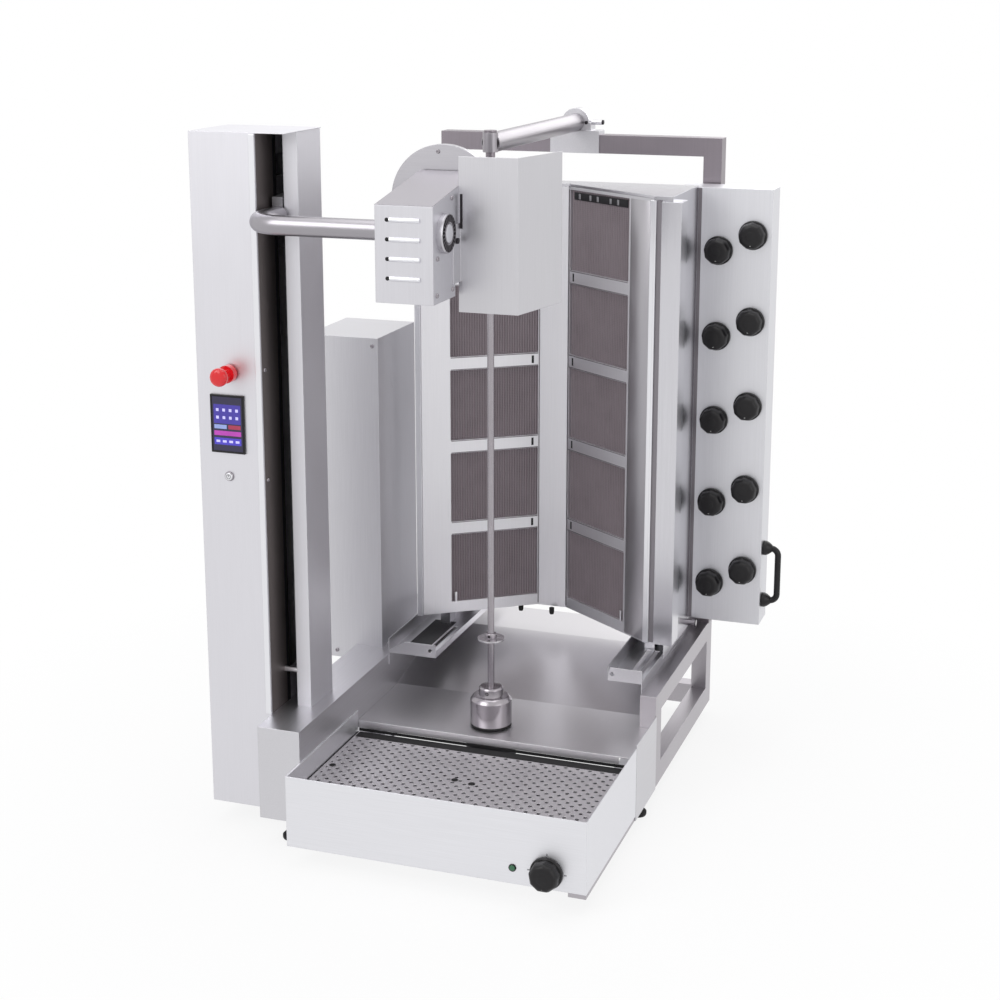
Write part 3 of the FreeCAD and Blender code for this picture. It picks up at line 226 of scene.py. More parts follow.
TURNS = {"z": (0, 0, 0), "-z": (math.pi, 0, 0), "x": (0, math.pi / 2, 0),
         "-x": (0, -math.pi / 2, 0), "y": (-math.pi / 2, 0, 0), "-y": (math.pi / 2, 0, 0)}


def pick(*parts):
    """Select these parts alone, with the first one active."""
    bpy.ops.object.select_all(action="DESELECT")
    for part in parts:
        part.select_set(True)
    bpy.context.view_layer.objects.active = parts[0]


def edit_faces(test):
    """In edit mode, select only the faces whose centre and normal pass the test."""
    shell = bmesh.from_edit_mesh(bpy.context.object.data)
    bpy.ops.mesh.select_mode(type="FACE")
    bpy.ops.mesh.select_all(action="DESELECT")
    for face in shell.faces:
        face.select_set(bool(test(face.calc_center_median(), face.normal)))
    bmesh.update_edit_mesh(bpy.context.object.data)


def settle(name, material, body, smooth_angle=30):
    """Bake the piece's place into its mesh, name and dress it, and let it ride its body."""
    piece = bpy.context.object
    bpy.ops.object.transform_apply(location=True, rotation=True, scale=True)
    bpy.ops.object.shade_smooth_by_angle(angle=math.radians(smooth_angle))
    piece.name = name
    if not piece.data.materials:
        piece.data.materials.append(material)
    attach(piece, body)
    bpy.ops.object.select_all(action="DESELECT")
    return piece


def fillet(width_mm, segments=2, angle=35):
    """Round the active piece's sharp edges for good."""
    rounded = bpy.context.object.modifiers.new("fillet", "BEVEL")
    rounded.width = width_mm / 1000
    rounded.segments = segments
    rounded.limit_method = "ANGLE"
    rounded.angle_limit = math.radians(angle)
    bpy.ops.object.modifier_apply(modifier="fillet")


def turned(place, axis, profile, sides=48, width_mm=0.4):
    """A round piece built up from its base: a disc, extruded and resized ring by ring.
    The profile is a list of (radius, height) in millimetres along the axis."""
    radius, height = profile[0][0] / 1000, profile[1][1] / 1000
    bpy.ops.mesh.primitive_cylinder_add(vertices=sides, radius=radius, depth=height,
                                        location=(0, 0, height / 2))
    bpy.ops.object.transform_apply(location=True)
    bpy.ops.object.mode_set(mode="EDIT")
    edit_faces(lambda centre, normal: normal.z > 0.9)
    steps = [(r / 1000, h / 1000) for r, h in profile[1:]]
    first = steps[0][0] / radius
    bpy.ops.transform.resize(value=(first, first, 1), center_override=(0, 0, height))
    for (before, low), (after, high) in zip(steps, steps[1:]):
        bpy.ops.mesh.extrude_region_move(
            TRANSFORM_OT_translate={"value": (0, 0, high - low)})
        grow = after / before
        bpy.ops.transform.resize(value=(grow, grow, 1), center_override=(0, 0, high))
    bpy.ops.object.mode_set(mode="OBJECT")
    if width_mm:
        fillet(width_mm)
    piece = bpy.context.object
    piece.rotation_euler = TURNS[axis]
    piece.location = place
    bpy.ops.object.transform_apply(location=True, rotation=True)
    return piece


def repeat(shifts_mm):
    """Copy the active piece by each shift and join the copies with it."""
    first = bpy.context.object
    copies = []
    for shift in shifts_mm:
        pick(first)
        bpy.ops.object.duplicate()
        copy = bpy.context.object
        copy.location = Vector(shift) / 1000
        copies.append(copy)
    join([first, *copies])


def join(parts):
    """Join finished parts into the first one."""
    pick(*parts)
    bpy.ops.object.join()
    bpy.ops.object.transform_apply(location=True, rotation=True, scale=True)


ground_steel = brushed_stainless("ground_bar_steel", "#a5a0a5", 0.24, "Z", 0.9, 0.08)
SCREW = [(4.2, 0), (4.2, 1.6), (3.4, 2.6), (2.0, 2.6), (1.8, 1.0)]


def screws(name, axis, body, places, size=1.0):
    """Pan head screws at places in millimetres, all facing one way."""
    first = places[0]
    turned(spot(*first), axis, [(r * size, h * size) for r, h in SCREW], 16, 0)
    repeat([[b - a for a, b in zip(first, place)] for place in places[1:]])
    return settle(name, ground_steel, body, 40)


# Adjustable feet.
# Each is a black rubber pad moulded on a steel disc, on a threaded stem with a lock nut.
# The stem screws into the frame tube or the console floor, so it levels the grill.
def moulded_plastic(name, tint, roughness=0.42, grit_mm=0.8, coat=0.0):
    """Injection moulded plastic with the fine spark texture of its mould."""
    made, tree = new_material(name)
    place = add_node(tree, "ShaderNodeTexCoord")
    grit = add_node(tree, "ShaderNodeTexNoise", {"Scale": 1000 / grit_mm, "Detail": 2.0},
                    {"Vector": place.outputs["Object"]})
    edge = add_node(tree, "ShaderNodeBevel", {"samples": 4, "Radius": 0.0008})
    bump = add_node(tree, "ShaderNodeBump", {"Strength": 0.25, "Distance": 0.00015},
                    {"Height": grit.outputs["Fac"], "Normal": edge.outputs["Normal"]})
    rough = add_node(tree, "ShaderNodeMapRange",
                     {"To Min": roughness - 0.06, "To Max": roughness + 0.08},
                     {"Value": grit.outputs["Fac"]})
    finish_material(tree, {"Base Color": hex_color(tint), "Coat Weight": coat,
                           "Specular IOR Level": 0.35},
                    {"Normal": bump.outputs["Normal"], "Roughness": rough.outputs["Result"]})
    return made


black_rubber = moulded_plastic("black_rubber_moulded", "#1b1a1c", 0.7)
FEET = [(-16.8, 384, -10), (-40.8, 873, -10), (-564, 97.5, 14), (-564, 868, 14)]
FLOOR_LEVEL = -37
PAD_HEIGHT = 13
STEM_START = 17
THREAD_CREST = 4
THREAD_ROOT = 3.4


def coated(part, material):
    """Give one part its finish before it is joined with others."""
    part.data.materials.append(material)
    return part


feet = []
for x, y, top in FEET:
    length = top - FLOOR_LEVEL - STEM_START
    thread = [(THREAD_CREST if row % 2 else THREAD_ROOT, row) for row in range(1, int(length))]
    pad = turned(spot(x, y, FLOOR_LEVEL), "z",
                 [(13.5, 0), (15, 3), (15, 8), (12, 11), (7, PAD_HEIGHT)], 40, 0.6)
    nut = turned(spot(x, y, FLOOR_LEVEL + PAD_HEIGHT), "z", [(7.4, 0), (7.4, 5)], 6)
    stem = turned(spot(x, y, FLOOR_LEVEL + STEM_START), "z",
                  [(THREAD_CREST, 0), *thread, (THREAD_CREST, length)], 20, 0)
    feet += [coated(pad, black_rubber), coated(nut, ground_steel), coated(stem, ground_steel)]
join(feet)
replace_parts(settle("levelling_feet", black_rubber, "base"), "feet")


# Console and floor plate.
# The console is a folded stainless box that carries the column. The floor plate is a single
# sheet with a fat gutter at its front, wiped daily. A thin black strip under its lip paints the
# shade in the gap there.
def block_at(place, size, rounding_mm=0.0, segments=1, turn=(0, 0, 0)):
    """A block by its middle in metres and its size in millimetres."""
    bpy.ops.mesh.primitive_cube_add(size=0.001, location=place, rotation=turn)
    block = bpy.context.object
    block.scale = size
    bpy.ops.object.transform_apply(location=True, rotation=True, scale=True)
    if rounding_mm:
        fillet(rounding_mm, segments)
    return block


def plain_block(centre, size, rounding_mm=0.0, segments=1):
    """An upright block, its middle counted in millimetres from the drawer's corner."""
    return block_at(spot(*centre), size, rounding_mm, segments)


floor_steel = brushed_stainless("wiped_stainless_floor", "#d8d6d9", 0.36, "Y", 2.4, 0.01, 0.02,
                                0.02)
dress(side_steel, "console_box")
dress(floor_steel, "floor_plate")
DRAWER_MIDDLE = -262.5
# Thin black strip under the floor plate's lip: painted shade in the gap below it.
plain_block((DRAWER_MIDDLE, 301.6, 89.4), (519, 0.7, 5.8), 0.2)
settle("lip_gap_shade_strip", black_rubber, "base")


# Heated drawer.
# Folded satin stainless box with spot welded ledges. A round sheathed heater lies on its floor,
# and it slides on telescopic runners. Its front is the palest face of the grill.
drawer_steel = brushed_stainless("satin_stainless_drawer", "#e4e4e8", 0.42, "X", 1.6, 0.03)
sheath_steel = brushed_stainless("oxidised_heater_sheath", "#5f5a5c", 0.5, "X", 1.2, 0.15)
dress(drawer_steel, "drawer_body", "drawer_runners", "runner_channels")
dress(sheath_steel, "heating_element")


# Perforated drip plate.
# Stainless sheet, 1.5 mm thick, punched with staggered 7 mm holes at 22 mm pitch, so the fat
# drains. One cell of the pattern is cut and arrayed, and a plain rim closes it all round.
PLATE_CELL = 22
PLATE_HOLE = 3.6
PLATE_THICKNESS = 1.5
plate_low, plate_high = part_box("perforated_plate")
plate_size = (plate_high - plate_low) * 1000
cells = (int(plate_size.x // PLATE_CELL), int(plate_size.y // PLATE_CELL))
rim = [(plate_size[i] - cells[i] * PLATE_CELL) / 2 for i in (0, 1)]

bpy.ops.mesh.primitive_cube_add(size=PLATE_CELL / 1000)
cell_sheet = bpy.context.object
cell_sheet.scale.z = PLATE_THICKNESS / PLATE_CELL
bpy.ops.object.transform_apply(scale=True)
half = PLATE_CELL / 2
punches = []
for x, y in ((0, 0), (-half, -half), (-half, half), (half, -half), (half, half)):
    bpy.ops.mesh.primitive_cylinder_add(vertices=12, radius=PLATE_HOLE / 1000, depth=0.01,
                                        location=(x / 1000, y / 1000, 0))
    punches.append(bpy.context.object)
join(punches)
punch = bpy.context.object
pick(cell_sheet)
cutting = cell_sheet.modifiers.new("punch", "BOOLEAN")
cutting.object = punch
cutting.use_self = True
bpy.ops.object.modifier_apply(modifier="punch")
bpy.data.objects.remove(punch)
bpy.ops.object.mode_set(mode="EDIT")
edge_of_cell = half / 1000 - 1e-5
edit_faces(lambda centre, normal: abs(normal.z) < 0.1
           and max(abs(centre.x), abs(centre.y)) > edge_of_cell)
bpy.ops.mesh.delete(type="FACE")
bpy.ops.object.mode_set(mode="OBJECT")
for axis, count in enumerate(cells):
    row = cell_sheet.modifiers.new("row", "ARRAY")
    row.count = count
    row.use_relative_offset = False
    row.use_constant_offset = True
    row.constant_offset_displace = [PLATE_CELL / 1000 if i == axis else 0 for i in range(3)]
    row.use_merge_vertices = True
    row.merge_threshold = 0.0002
    bpy.ops.object.modifier_apply(modifier="row")
plate_middle = (plate_low + plate_high) / 2
cell_sheet.location = [plate_middle[i] - (cells[i] - 1) * PLATE_CELL / 2000 for i in (0, 1)] \
    + [plate_middle.z]
bpy.ops.object.transform_apply(location=True)
ends, sides = (rim[0], plate_size.y), (plate_size.x - 2 * rim[0], rim[1])
strips = [block_at((x, y, plate_middle.z), (*size, PLATE_THICKNESS)) for x, y, size in (
    (plate_low.x + rim[0] / 2000, plate_middle.y, ends),
    (plate_high.x - rim[0] / 2000, plate_middle.y, ends),
    (plate_middle.x, plate_low.y + rim[1] / 2000, sides),
    (plate_middle.x, plate_high.y - rim[1] / 2000, sides))]
join([cell_sheet, *strips])
plate_steel = brushed_stainless("wiped_stainless_plate", "#c6c3c7", 0.48, "X", 2.0, 0.02)
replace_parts(settle("drip_plate_sheet", plate_steel, "drip_plate"),
            "perforated_plate")


# Finger holes and edge shade of the drip plate.
# Three larger holes, lined with black grommets, let a finger lift the plate. Black strips fill
# the gaps at its left and back edges and paint the shade in them, and a black strip on the
# plate's back part paints the shade that falls below the floor plate's lip.
black_plastic = moulded_plastic("black_abs_moulded", "#121013", 0.36)
FIRST_HOLE = (-283.4, 161, 86.1)
turned(spot(*FIRST_HOLE), "z", [(6, 0), (6, 0.8), (4.4, 1.2), (3.6, 0.2)], 24, 0)
repeat([(32.9, -5.4, 0), (-222.6, -12.5, 0)])
settle("plate_grommets", black_plastic, "drip_plate")
# Black strips in the gaps at the plate's left and back edges: painted shade.
join([plain_block((-522.35, 150, 85.7), (2.1, 296, 2.2), 0.2),
      plain_block((DRAWER_MIDDLE, 299.7, 83.4), (521, 2.6, 2.8), 0.2)])
settle("plate_edge_gap_shade", black_rubber, "drawer")
# Black strip on the plate's back part: painted shade below the floor plate's lip.
plain_block((-261.7, 287.1, 86.5), (514, 22.2, 0.9), 0.2)
settle("plate_back_shade_strip", black_rubber, "drip_plate")


# Knobs.
# Heat resistant ABS, moulded as a round skirt with a nine sided, softly rounded grip on it.
# A white dot marks the setting, and each knob is pushed on its valve or thermostat stem.
white_mark = moulded_plastic("white_filled_mark", "#d9d9d6", 0.5)


def grip_knob(name, node, body, centre, radius, depth):
    """One knob that faces forward, from its centre on the panel in millimetres.
    Its sides are given from its radius and its depth, so both knob sizes look alike."""
    x, y, z = centre
    skirt = turned(spot(x, y, z), "-y", [(radius - 0.8, 0), (radius, 1.4), (radius, 4.6),
                                          (radius - 1.8, 6.4)], 56, 0.5)
    grip = turned(spot(x, y - 5.5, z), "-y",
                  [(radius - 1.6, 0), (radius - 2.2, depth - 14), (radius - 4.6, depth - 8.4),
                   (radius - 9, depth - 5.7)], 9, 0)
    fillet(4.2, 5, 24)
    cap = turned(spot(x, y - depth + 0.6, z), "-y", [(radius - 18, 0), (radius - 18.6, 0.5)],
                 40, 0.2)
    stem = turned(spot(x, y - 1, z), "y", [(4, 0), (4, 22), (3.4, 23)], 20, 0)
    mark = turned(spot(x, y - depth + 1.8, z - 15.5), "-y", [(1.9, 0), (1.9, 1.3)], 16, 0.2)
    join([*[coated(part, black_plastic) for part in (skirt, grip, cap, stem)],
          coated(mark, white_mark)])
    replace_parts(settle(name, black_plastic, body, 32), node)


def middle_of(node):
    """A node's middle, across and up, in millimetres counted from the drawer's corner."""
    low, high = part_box(node)
    middle = (low + high) / 2
    return (middle.x - CORNER[0]) * 1000, (middle.z - CORNER[2]) * 1000


knob_x, knob_z = middle_of("heat_thermostat_knob")
grip_knob("thermostat_knob", "heat_thermostat_knob", "heat_knob", (knob_x, -0.3, knob_z),
          27.5, 27.4)


# Dial marks and pilot lamp.
# Four grey marks printed round the thermostat knob, and a green lens in a chromed bezel that
# lights while the heater is on. The lamp is clipped into the drawer's front.
grey_print = moulded_plastic("grey_printed_mark", "#8f8f92", 0.6)
MARK_RING = 31
join([plain_block((knob_x + MARK_RING * across, 0, knob_z + MARK_RING * up),
                  (4.2, 0.3, 2.2) if across else (2.2, 0.3, 4.2), 0.12, 2)
      for across, up in ((1, 0), (0, 1), (-1, 0), (0, -1))])
settle("dial_marks", grey_print, "drawer")

lamp_glass, tree = new_material("green_polycarbonate_lens")
finish_material(tree, {"Base Color": hex_color("#1d5a3c"), "Roughness": 0.18,
                       "Coat Weight": 0.5, "Emission Color": hex_color("#2c8a4c"),
                       "Emission Strength": 0.12})
lamp_x, lamp_z = middle_of("pilot_lamp")
bezel = turned(spot(lamp_x, 0, lamp_z), "-y", [(6.5, 0), (6.5, 1.2), (5.6, 2.0), (4.8, 1.4)],
               32, 0)
lens = turned(spot(lamp_x, 0, lamp_z), "-y", [(4.8, 0), (4.8, 2.0), (4.0, 2.7), (2.2, 3.0)],
              32, 0.2)
socket = turned(spot(lamp_x, 0.2, lamp_z), "y", [(4.9, 0), (4.9, 16)], 24, 0.3)
join([coated(bezel, black_plastic), coated(lens, lamp_glass), coated(socket, black_plastic)])
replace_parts(settle("pilot_lamp_green", lamp_glass, "drawer", 40), "pilot_lamp")


# Lift column.
# Folded satin cover with a slot for the arm, a hem along the slot drawn brighter than the cover
# as a painted highlight on its bend, and a plain upright at its other side. A darker sheet on
# the slot's wall paints the shade in the slot, a black strip and the black back panel paint the
# deep shade at its back, and a steel bar ties it at the foot.
column_steel = brushed_stainless("satin_stainless_column", "#dbdadf", 0.42, "Z", 1.6, 0.02)
# Brighter, glossier steel: the own finish of the tie rod, start key and arm plug, and painted
# highlight on the column's hem, the burner fronts' hems and the head's louvres.
bright_and_highlight_steel = brushed_stainless("bright_steel_and_painted_highlight", "#e6e6ea", 0.3, "Z", 1.6, 0.02)
# Black for holes, slots and recesses: painted shade inside them.
hole_shade_black = moulded_plastic("black_painted_shade", "#17161a", 0.5, 1.2)
dress(column_steel, "column_cover", "column_upright")
dress(hole_shade_black, "slot_back_panel")
dress(ground_steel, "guide_rods", "lead_screw")
dress(bright_and_highlight_steel, "tie_rod")
SLOT_MIDDLE = 679.5
SLOT_WALL = -603
# Hem strip drawn brighter than the cover: painted highlight on the slot's bent edge.
plain_block((-608.6, 112.7, SLOT_MIDDLE), (10, 0.8, 995), 0.3)
settle("column_hem_highlight", bright_and_highlight_steel, "base")
# Brown-grey sheet on the slot's wall: painted shade inside the slot.
slot_wall_shade_steel = brushed_stainless("slot_wall_painted_shade", "#77706f", 0.5, "Z", 1.6, 0.05)
plain_block((SLOT_WALL, 147, SLOT_MIDDLE), (0.5, 60, 996), 0.1)
settle("slot_wall_shade_sheet", slot_wall_shade_steel, "base")
# Black strip beyond it: painted deep shade at the back of the slot.
plain_block((SLOT_WALL, 183, SLOT_MIDDLE), (0.5, 12, 996), 0.1)
settle("slot_deep_shade_strip", hole_shade_black, "base")
screws("slot_screws", "x", "base", [(SLOT_WALL - 0.3, 126, z) for z in (788, 599)], 0.9)
COLUMN_BACK = 255
screws("column_back_screws", "y", "base",
       [(x, COLUMN_BACK, z) for x in (-710, -618) for z in (60, 320, 600, 880, 1150)])


# Emergency stop.
# A 30 mm mushroom of glossy red ABS on a red collar. It latches when it is pushed in, and a
# twist lets it out. Three moulded dimples round its rim give the fingers a hold.
red_plastic = moulded_plastic("red_abs_glossy", "#e3141f", 0.22, 1.0, 0.6)
dress(red_plastic, "stop_stem")
stop_x, stop_z = middle_of("stop_button")
HEAD_BACK = 79.7
DIMPLE_RING = 9.5
head = turned(spot(stop_x, HEAD_BACK, stop_z), "-y",
              [(11, 0), (14.6, 1.6), (15.5, 4), (15.5, 8.4), (14.6, 11), (12, 13.2),
               (7.6, 14.6), (3, 15)], 56, 0.5)
pin = turned(spot(stop_x, HEAD_BACK - 1, stop_z), "y", [(4, 0), (4, 12)], 24, 0.3)
dimples = []
for angle in (90, 210, 330):
    turn = math.radians(angle)
    place = spot(stop_x + DIMPLE_RING * math.cos(turn), HEAD_BACK - 13.9,
                 stop_z + DIMPLE_RING * math.sin(turn))
    dimples.append(turned(place, "-y", [(1.7, 0), (1.5, 0.45), (0.9, 0.55)], 16, 0))
join([head, pin, *dimples])
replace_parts(settle("stop_mushroom", red_plastic, "stop_head", 45),
            "stop_button")


# Touch screen.
# A glass faced panel in a black frame, glued over a cut-out in the column. Its picture is
# plain: a header with two rows of small keys, two bars, a wide magenta bar and a lower field.
def lit_glass(name, tint, glow=0.55):
    """Coloured area of a lit display under glossy glass."""
    made, tree = new_material(name)
    place = add_node(tree, "ShaderNodeTexCoord")
    haze = add_node(tree, "ShaderNodeTexNoise", {"Scale": 60.0, "Detail": 1.0},
                    {"Vector": place.outputs["Object"]})
    fade = add_node(tree, "ShaderNodeMapRange", {"To Min": 0.85, "To Max": 1.15},
                    {"Value": haze.outputs["Fac"]})
    tone = add_node(tree, "ShaderNodeVectorMath",
                    {"operation": "SCALE", 0: hex_color(tint)[:3]},
                    {"Scale": fade.outputs["Result"]})
    finish_material(tree, {"Roughness": 0.12, "Emission Strength": glow, "Coat Weight": 0.4},
                    {"Base Color": tone.outputs[0], "Emission Color": tone.outputs[0]})
    return made


screen_x, screen_z = middle_of("touch_screen")
GLASS_FACE = 109.65
case = plain_block((screen_x, 111, screen_z), (62, 4, 100))
bpy.ops.object.mode_set(mode="EDIT")
edit_faces(lambda centre, normal: normal.y < -0.9)
bpy.ops.mesh.inset(thickness=0.0032)
bpy.ops.mesh.extrude_region_move(TRANSFORM_OT_translate={"value": (0, 0.0007, 0)})
bpy.ops.object.mode_set(mode="OBJECT")
fillet(0.5, 3)
display = [coated(case, black_plastic)]
AREAS = [  # across, up, width, height, lift and colour, from the screen's middle in millimetres
    (0, 0, 55, 93, 0, lit_glass("navy_display", "#171036", 0.4)),
    (0, 17, 50, 33, 0.15, lit_glass("violet_display", "#33278a")),
    (-13, -5, 23, 7, 0.15, lit_glass("pale_blue_display", "#7f8fc0")),
    (13, -5, 23, 7, 0.15, lit_glass("dark_red_display", "#8d2040")),
    (0, -16, 50, 8, 0.15, lit_glass("magenta_display", "#a0329a")),
    (0, -30, 50, 12, 0.15, lit_glass("blue_display", "#3a2fa6")),
]
icon_glow = lit_glass("icon_display", "#b9b4e6")
for column in (-18, -6, 6, 18):
    AREAS += [(column, row, 5, 5, 0.3, icon_glow) for row in (24, 11)]
    AREAS.append((column, -30, 7, 4, 0.3, icon_glow))
for across, up, width, height, lift, glow in AREAS:
    area = plain_block((screen_x + across, GLASS_FACE - lift, screen_z + up),
                       (width, 0.3, height), 0.1)
    display.append(coated(area, glow))
join(display)
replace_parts(settle("touch_panel", black_plastic, "base"), "touch_screen")


# Start button.
# A flush stainless key in a turned chrome ring, with a ring and a bar engraved on its face.
# It springs back after it is pressed.
start_x, start_z = middle_of("start_button")
key = turned(spot(start_x, 125, start_z), "-y", [(6.6, 0), (6.6, 15.4), (6.1, 16.2)], 36, 0.2)
ring = turned(spot(start_x, 113, start_z), "-y", [(8, 0), (8, 2.2), (7.2, 3.2), (6.8, 2.4)],
              36, 0)
engraved = turned(spot(start_x, 109.2, start_z), "-y", [(4.2, 0), (4.2, 0.5), (3.0, 0.5),
                                                        (3.0, 0.1)], 32, 0)
bar = plain_block((start_x, 108.6, start_z + 2), (1.0, 0.5, 5), 0.1, 2)
join([coated(key, bright_and_highlight_steel), coated(ring, ground_steel), coated(engraved, grey_print),
      coated(bar, grey_print)])
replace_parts(settle("start_key_cap", bright_and_highlight_steel, "start_key"), "start_button")


# Cutter arm.
# Bent stainless tube, polished, clamped in a cast carriage that rides on the guide rods.
# A pressed plug closes its free end inside the head's bearing.
arm_steel = brushed_stainless("polished_stainless_tube", "#a29fa4", 0.3, "X", 1.2, 0.03, 0.03)
cast_alloy = brushed_stainless("cast_and_milled_alloy", "#9b9a9e", 0.5, "Z", 3.0, 0.06)
dress(arm_steel, "arm_tube")
dress(cast_alloy, "carriage")
ARM_AXIS = (45, 1042)
turned(spot(-243.4, *ARM_AXIS), "x", [(14.4, 0), (14.4, 1.0), (12.8, 1.4)], 40, 0.2)
settle("arm_end_plug", bright_and_highlight_steel, "lift_carriage")


# Cutting head.
# Folded satin box that tips on the arm. A darker sheet over its roof paints the shade there.
# Four pressed louvres let air to its motor. Their lips are drawn in the brighter steel as a
# painted highlight, and a black dot at each one's left end paints the shade there. Pan head
# screws hold its side covers.
guard_steel = brushed_stainless("spun_stainless_guard", "#bdbbc0", 0.32, "X", 1.4, 0.04)
head_steel = brushed_stainless("satin_stainless_head", "#d2d1d6", 0.4, "Z", 1.6, 0.03)
dress(head_steel, "head_housing")
# Darker sheet over the roof: painted shade on the roof.
roof_shade_steel = brushed_stainless("head_roof_painted_shade", "#a7a4a9", 0.48, "X", 1.6, 0.03)
ROOF_SLOPE = math.atan2(34, 190)
block_at(spot(-299.5, 95, 1104.4), (94.6, 192.6, 0.5), turn=(ROOF_SLOPE, 0, 0))
settle("head_roof_shade_sheet", roof_shade_steel, "cutter_head")


def louvre(place, radius_mm, length_mm, rounding_mm, faces_back=False):
    """A pressed louvre: half a round bar that lies across the sheet, 0.2 mm sunk into it."""
    bpy.ops.mesh.primitive_cylinder_add(vertices=16, radius=radius_mm / 1000,
                                        depth=length_mm / 1000, rotation=TURNS["x"])
    bpy.ops.object.transform_apply(rotation=True)
    bpy.ops.object.mode_set(mode="EDIT")
    bpy.ops.mesh.select_all(action="SELECT")
    sunk = 0.0002
    bpy.ops.mesh.bisect(plane_co=(0, -sunk if faces_back else sunk, 0), plane_no=(0, 1, 0),
                        use_fill=True, clear_inner=faces_back, clear_outer=not faces_back)
    bpy.ops.object.mode_set(mode="OBJECT")
    fillet(rounding_mm, 3, 60)
    bpy.context.object.location = place
    bpy.ops.object.transform_apply(location=True)


TOP_LOUVRE = 1062
louvre_rows = [(0, 0, -30 * row) for row in range(1, 4)]
# Louvre lips in the brighter steel: painted highlight on them.
louvre(spot(-298, 0.2, TOP_LOUVRE + 3.2), 3.6, 50, 1.2)
repeat(louvre_rows)
settle("head_louvres", bright_and_highlight_steel, "cutter_head", 50)
# Black dots at the louvres' left ends: painted shade.
turned(spot(-327, 0.2, TOP_LOUVRE + 3), "-y", [(3.3, 0), (3.3, 0.4), (2.9, 0.5)], 20, 0)
repeat(louvre_rows)
settle("louvre_end_shade_dots", black_plastic, "cutter_head")
HEAD_LEFT, HEAD_RIGHT, HEAD_LOW_BACK = -347, -252, 94
screws("head_side_screws", "x", "cutter_head",
       [(HEAD_RIGHT, y, z) for y, z in ((18, 1006), (14, 950), (82, 950), (80, 1092))], 0.9)
screws("head_left_screws", "-x", "cutter_head",
       [(HEAD_LEFT, y, z) for y, z in ((14, 950), (82, 950), (14, 1072), (170, 1104))], 0.9)
screws("head_back_screws", "y", "cutter_head",
       [(x, HEAD_LOW_BACK, 950) for x in (-335, -264)], 0.9)


# Flange bearing.
# Steel ring bolted to the head's side, which turns on the arm. Its face is dark grey and has
# radial pockets, painted darker still as painted shade in them, so it reads as a mottled black
# ring with a bright rim.
# Dark grey face, and darker paint in its pockets: painted shade in the pockets.
dark_face_paint = moulded_plastic("dark_grey_bearing_face", "#504c51", 0.45, 1.2)
pocket_shade_paint = moulded_plastic("bearing_pocket_painted_shade", "#2b292d", 0.6, 1.2)
ring = turned(spot(HEAD_RIGHT, *ARM_AXIS), "x",
              [(31, 0), (31, 7.6), (29.4, 9.4), (17.6, 9.4), (16.6, 8.6), (16.4, 2)], 24, 0)
for finish in (guard_steel, dark_face_paint, pocket_shade_paint):
    coated(ring, finish)
bpy.ops.object.mode_set(mode="EDIT")
bearing_face = spot(-242.6, *ARM_AXIS)
edit_faces(lambda centre, normal: normal.x > 0.9)
bpy.context.object.active_material_index = 1
bpy.ops.object.material_slot_assign()
edit_faces(lambda centre, normal: normal.x > 0.9
           and 0.02 < (centre - bearing_face).length < 0.027)
bpy.context.object.active_material_index = 2
bpy.ops.mesh.inset(thickness=0.0009, use_individual=True)
bpy.ops.mesh.extrude_region_shrink_fatten(TRANSFORM_OT_shrink_fatten={"value": -0.002})
bpy.ops.object.material_slot_assign()
bpy.ops.object.mode_set(mode="OBJECT")
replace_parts(settle("bearing_ring", guard_steel, "cutter_head", 40),
            "flange_bearing")


# Round blade and its guard.
# Ground knife steel on a short spindle, behind the head, inside a spun guard that is screwed
# to the neck. A turned cap covers the spindle nut.
blade_steel = brushed_stainless("ground_knife_steel", "#c9c9ce", 0.16, "X", 1.0, 0.03, 0.03)
dress(blade_steel, "blade")
dress(guard_steel, "blade_guard")
BLADE_X, BLADE_Z = -310, 1073
SCREW_RING = 78.6
turned(spot(BLADE_X, 206.6, BLADE_Z), "y", [(17, 0), (17, 2), (13, 3.6), (8, 5), (3, 5.4)],
       40, 0.3)
settle("blade_nut_cap", ground_steel, "cutter_blade")
screws("guard_screws", "-y", "cutter_head",
       [(BLADE_X + SCREW_RING * math.cos(turn), 196.3, BLADE_Z + SCREW_RING * math.sin(turn))
        for turn in map(math.radians, (96, 186, 276, 366))], 0.8)


# Blade shield.
# One bent stainless sheet beside the blade, on a folded bracket with a dark hex bolt.
# Its wide facet faces the operator, its wing turns back, and a dark strip along its inner edge
# paints the shade in the gap between it and the head.
shield_steel = brushed_stainless("satin_stainless_shield", "#cbcace", 0.36, "Z", 1.6, 0.03)
black_oxide = brushed_stainless("black_oxide_bolt", "#3a373b", 0.45, "X", 1.0, 0.06)
dress(shield_steel, "blade_shield")
turned(spot(-249, 94, 1024), "x", [(5, 0), (5, 3.2), (4.5, 3.7)], 6, 0.3)
settle("shield_bolt", black_oxide, "cutter_head")
# Dark strip at the shield's inner edge: painted shade in the gap by the head.
plain_block((-247.2, 109.5, 1068), (4, 0.8, 54), 0.2)
settle("shield_gap_shade_strip", black_oxide, "cutter_head")


